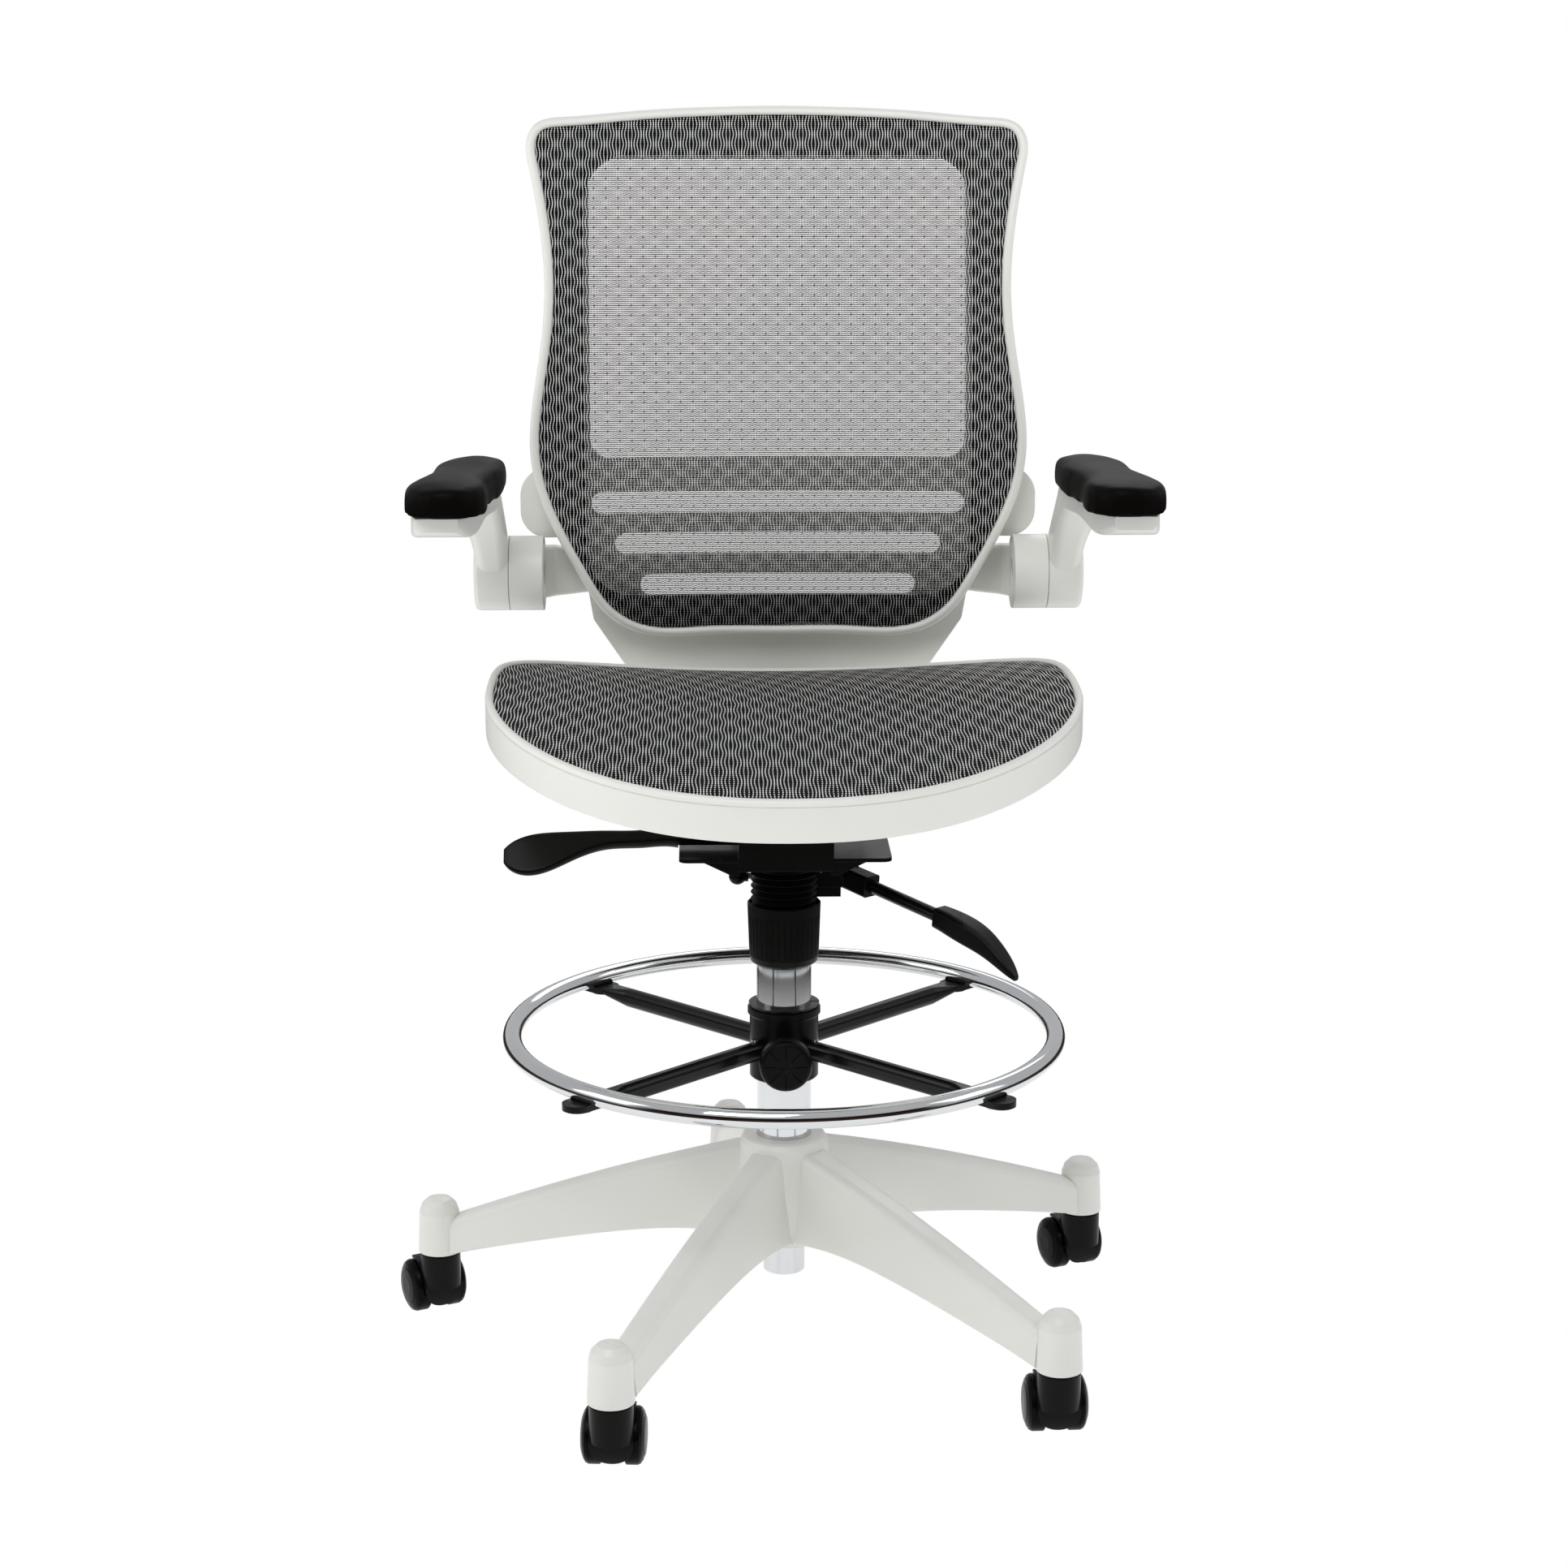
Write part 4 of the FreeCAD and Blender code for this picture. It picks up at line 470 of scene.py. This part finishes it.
def knit(name, column_mm, columns, half_mm, dots, sway_mm, dot_share, painted_shade_span_mm, see_through):
    """Knitted mesh: dots of white yarn in columns that sway apart and together, leaving dark ovals.

    The pair of heights in millimetres along the cloth spans painted shade: below the first the white dots are
    drawn smallest, above the second at full size, so the mesh darkens towards the bottom.
    """
    material = bpy.data.materials.new(name)
    material.use_nodes = True
    tree = material.node_tree
    tree.nodes.clear()

    def calc(operation, a, b=0.0, c=0.0):
        return add_node(tree, "ShaderNodeMath", {0: a, 1: b, 2: c}, operation=operation).outputs["Value"]

    uv = add_node(tree, "ShaderNodeUVMap", uv_map="cloth").outputs["UV"]
    axes = add_node(tree, "ShaderNodeSeparateXYZ", {"Vector": uv})
    u = calc("MULTIPLY", axes.outputs["X"], 1000.0)
    v = calc("MULTIPLY", axes.outputs["Y"], 1000.0)
    across = calc("MULTIPLY", u, 2 * math.pi / (column_mm * columns))
    down = calc("MULTIPLY", v, math.pi / half_mm)
    sway = calc("MULTIPLY", calc("SINE", across), calc("SINE", down))
    oval = calc("MULTIPLY", calc("COSINE", across), calc("SINE", down))
    knot = calc("MULTIPLY", calc("COSINE", across), calc("COSINE", down))
    column = calc("DIVIDE", calc("MULTIPLY_ADD", sway, -sway_mm, u), column_mm)
    row = calc("DIVIDE", v, half_mm / dots)
    # Painted shade: low down on the cloth the white dots are drawn smaller, so the mesh looks darker towards
    # the bottom.
    painted_shade = add_node(tree, "ShaderNodeMapRange", {
        "Value": v, "From Min": painted_shade_span_mm[0], "From Max": painted_shade_span_mm[1],
        "To Min": painted_shade_dot_size, "To Max": 1.0}).outputs["Result"]
    # Distances from the middle of the nearest dot, as shares of the dots' pitch.
    side = calc("ABSOLUTE", calc("SUBTRACT", calc("FRACT", column), 0.5))
    end = calc("ABSOLUTE", calc("SUBTRACT", calc("FRACT", row), 0.5))
    size = calc("MULTIPLY", calc("MULTIPLY_ADD", oval, -oval_thinning, 0.98), painted_shade)
    round_side = calc("POWER", calc("DIVIDE", side, dot_share), 2.0)
    round_end = calc("POWER", calc("DIVIDE", end, yarn_end), 2.0)
    out = calc("DIVIDE", calc("SQRT", calc("ADD", round_side, round_end)), size)
    dot = add_node(tree, "ShaderNodeMapRange", {
        "Value": out, "From Min": dot_clear, "From Max": dot_full}).outputs["Result"]
    tight = add_node(tree, "ShaderNodeMapRange", {
        "Value": calc("ABSOLUTE", knot), "From Min": knot_full, "From Max": knot_clear}).outputs["Result"]
    dot = calc("MULTIPLY", dot, tight)
    colour = add_node(tree, "ShaderNodeMixRGB", {
        "Fac": dot, "Color1": rgb("#07080A"), "Color2": rgb("#E9E9E7")}).outputs["Color"]
    relief = add_node(tree, "ShaderNodeBump", {"Strength": 0.6, "Distance": 0.0004, "Height": dot})
    surface = add_node(tree, "ShaderNodeBsdfPrincipled", {
        "Base Color": colour, "Roughness": 0.7, "Specular IOR Level": 0.1, "Normal": relief.outputs["Normal"]})
    if see_through:
        # Black threads run across between the rows of dots, and the mesh is open between them.
        wave = calc("SINE", calc("MULTIPLY", u, math.pi / column_mm))
        ripple = calc("MULTIPLY_ADD", wave, thread_ripple, row)
        off_thread = calc("ABSOLUTE", calc("SUBTRACT", calc("FRACT", calc("ADD", ripple, 0.5)), 0.5))
        thread = add_node(tree, "ShaderNodeMapRange", {
            "Value": off_thread, "From Min": thread_clear, "From Max": thread_full}).outputs["Result"]
        dash = calc("SUBTRACT", 1.0, tight)
        solid = calc("MAXIMUM", calc("MAXIMUM", dot, thread), dash)
        tree.links.new(solid, surface.inputs["Alpha"])
    add_node(tree, "ShaderNodeOutputMaterial", {"Surface": surface.outputs["BSDF"]})
    return material


def cloth_grid(name, rows, columns, place, material):
    """Sheet from a grid: place turns two shares, from -1 to 1, into a point and its place on the flat cloth."""
    bm = bmesh.new()
    bmesh.ops.create_grid(bm, x_segments=columns, y_segments=rows, size=1)
    cloth = bm.loops.layers.uv.new("cloth")
    flat = {}
    for vert in bm.verts:
        vert.co, flat[vert] = place(vert.co.x, vert.co.y)
    for face in bm.faces:
        for loop in face.loops:
            loop[cloth].uv = flat[loop.vert]
    bmesh.ops.remove_doubles(bm, verts=bm.verts, dist=1e-5)
    return piece_from(bm, name, material, 180)


def seat_cloth(across, along):
    """Point of the seat's mesh panel, and its place on the flat cloth, whose columns lean in at the rear."""
    reach, power = rear_half if along > 0 else front_half
    share = math.sin(math.pi / 2 * abs(along))
    half = (seat_half_width - seat_tuck) * max(0.0, 1 - share ** power) ** (1 / power)
    x = half * across
    y = seat_middle + math.copysign((reach - seat_tuck) * share, along)
    return Vector((x, y, seat_height(x, y) - seat_cloth_below)), (x + yarn_lean * max(0.0, y) ** 2, y)


# The seat gets no painted shade: the span of smaller dots lies off the cloth.
seat_knit = knit("stretched_seat_knit", 3.07, 8, 22.0, 5, 0.85, 0.20, (-900.0, -800.0), False)
seat_cloth_piece = cloth_grid("seat_mesh_panel", cloth_steps, cloth_steps, seat_cloth, seat_knit)
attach(seat_cloth_piece, "seat")
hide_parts("seat_mesh")

# ---- back ----
# A white moulded rim holds the back's mesh in front of a moulded shell with a window and three slots. A black
# carrier ring lies behind the mesh's border, and a bent steel bar joins shell and seat plate.
back_half_width, back_low, back_high = 0.235, 0.629, 1.129
back_face, back_curve, back_hollow, side_wrap = 0.210, 0.5, 0.780, 0.020
back_tuck, back_cloth_behind = 0.005, 0.0010


def back_depth(x, z):
    """Depth of the back's front face at a point of its outline plane."""
    return back_face + back_curve * (z - back_hollow) ** 2 - side_wrap * (x / back_half_width) ** 2


# The back's outline as shares of its half width and its height, bottom to top.
back_shares = [
    (0.0, 0.0), (0.30, 0.0), (0.58, 0.008), (0.715, 0.05), (0.80, 0.11), (0.90, 0.20), (0.975, 0.29),
    (1.0, 0.37), (0.985, 0.46), (0.952, 0.56), (0.935, 0.66), (0.945, 0.75), (0.972, 0.835), (0.998, 0.895),
    (1.006, 0.93), (0.97, 0.966), (0.86, 0.979), (0.55, 0.991), (0.25, 0.998), (0.0, 1.0),
]
right_half = [(back_half_width * a, back_low + (back_high - back_low) * b) for a, b in back_shares]
back_line = smooth_loop(right_half + [(-x, z) for x, z in right_half[-2:0:-1]], rim_steps)
# The rim's section as inset from the edge and depth behind the front face.
back_section = [
    (0.0, 0.0219), (0.0, 0.0010), (0.0004, -0.0012), (0.0015, -0.0030), (0.0030, -0.0038),
    (0.0046, -0.0040), (0.0062, -0.0036), (0.0076, -0.0024), (0.0084, -0.0006), (0.0085, 0.0014),
    (0.0085, 0.0219),
]
back_rim = rim_round(
    "back_rim", back_line, back_section, lambda x, z, d: (x, back_depth(x, z) + d, z), white_nylon)
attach(back_rim, "seat")
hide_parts("back_frame")
finish_parts(white_nylon, ["rear_shell", "arm_brackets"])
finish_parts(black_nylon, ["mesh_carrier"])
finish_parts(powder_coat, ["back_bar"])
finish_parts(zinc_plate, ["frame_bolts"])

half_line = back_line[back_line[:, 0] >= 0]
half_line = half_line[np.argsort(half_line[:, 1])]
back_middle = (back_low + back_high) / 2


def back_cloth(across, along):
    """Point of the back's mesh panel, tucked under the rim, and its place on the flat cloth."""
    reach = (back_high - back_low) / 2 - back_tuck
    z = back_middle + reach * math.sin(math.pi / 2 * along)
    outer = (z - back_middle) / reach * (back_high - back_low) / 2 + back_middle
    half = max(0.0, float(np.interp(outer, half_line[:, 1], half_line[:, 0])) - back_tuck)
    x = half * across
    return Vector((x, back_depth(x, z) + back_cloth_behind, z)), (x, z)


# Painted shade: across the lowest ninety millimetres of the back's cloth the white dots are drawn smaller,
# darkening it towards the bottom.
back_knit = knit("stretched_back_knit", 2.89, 8, 9.0, 5, 0.8, 0.205, (630.0, 720.0), True)
back_cloth_piece = cloth_grid("back_mesh_panel", cloth_steps, cloth_steps, back_cloth, back_knit)
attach(back_cloth_piece, "seat")
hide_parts("back_mesh")

# ---- arms ----
# Each arm is one white moulding that flips up about a disc at the back's side. Its pad is soft polyurethane
# foam with a grained skin, moulded over a plastic core and screwed down from below.
finish_parts(white_nylon, ["left_arm", "right_arm"])
# Polyurethane: black and matt, with a fine grain.
pad_grain = skin("grained_black_polyurethane", "#070504", "#0B0908", 0.44, 1.8, 0.09, 0.8, shine=0.04)


def flipped(source, name):
    """The same piece for the other side of the chair."""
    bm = bmesh.new()
    bm.from_mesh(source.data)
    bmesh.ops.scale(bm, vec=(-1, 1, 1), verts=bm.verts)
    bmesh.ops.reverse_faces(bm, faces=bm.faces)
    return piece_from(bm, name, source.data.materials[0], 60)


def made_solid(piece):
    """Makes a piece's modifiers part of its mesh."""
    graph = bpy.context.evaluated_depsgraph_get()
    mesh = bpy.data.meshes.new_from_object(piece.evaluated_get(graph), depsgraph=graph)
    piece.modifiers.clear()
    piece.data = mesh


# The foam is blown up as cloth from a form drawn in by its swell, with its foot held by the core.
pad_swell, pad_voxel, pad_cap, pad_foot = 0.0016, 0.0045, 0.0036, 0.0045
pad_pressure, blow_frames = 4.0, 20
smoothing, smoothing_rounds = 0.5, 8
pad = bmesh.new()
pad.from_mesh(nodes["right_arm_pad"].data)
bmesh.ops.remove_doubles(pad, verts=pad.verts, dist=1e-5)
right_pad = piece_from(pad, "right_pad", pad_grain, 180)
remesh = right_pad.modifiers.new("even_grid", "REMESH")
remesh.mode = "VOXEL"
remesh.voxel_size = pad_voxel
made_solid(right_pad)
pad_low = min(v.co.z for v in right_pad.data.vertices)
start = [v.co - v.normal * pad_swell for v in right_pad.data.vertices]
for v, place in zip(right_pad.data.vertices, start):
    v.co = place
foot = right_pad.vertex_groups.new(name="foot")
foot.add([i for i, place in enumerate(start) if place.z < pad_low + pad_foot], 1.0, "REPLACE")
blown = right_pad.modifiers.new("blown", "CLOTH")
blown.settings.use_pressure = True
blown.settings.uniform_pressure_force = pad_pressure
blown.settings.effector_weights.gravity = 0.0
blown.settings.vertex_group_mass = "foot"
blown.point_cache.frame_start = 1
blown.point_cache.frame_end = blow_frames
for step in range(1, blow_frames + 1):
    bpy.context.scene.frame_set(step)
made_solid(right_pad)
bpy.context.scene.frame_set(1)
for v, place in zip(right_pad.data.vertices, start):
    moved = v.co - place
    v.co = place + moved * min(1.0, pad_cap / max(moved.length, 1e-9))
even = right_pad.modifiers.new("even", "SMOOTH")
even.factor = smoothing
even.iterations = smoothing_rounds
finer = right_pad.modifiers.new("finer", "SUBSURF")
finer.levels = finer.render_levels = 1
made_solid(right_pad)
right_pad.data.shade_smooth()
left_pad = flipped(right_pad, "left_pad")
for piece, body, node in (
        (right_pad, "right_arm", "right_arm_pad"), (left_pad, "left_arm", "left_arm_pad")):
    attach(piece, body)
    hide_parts(node)
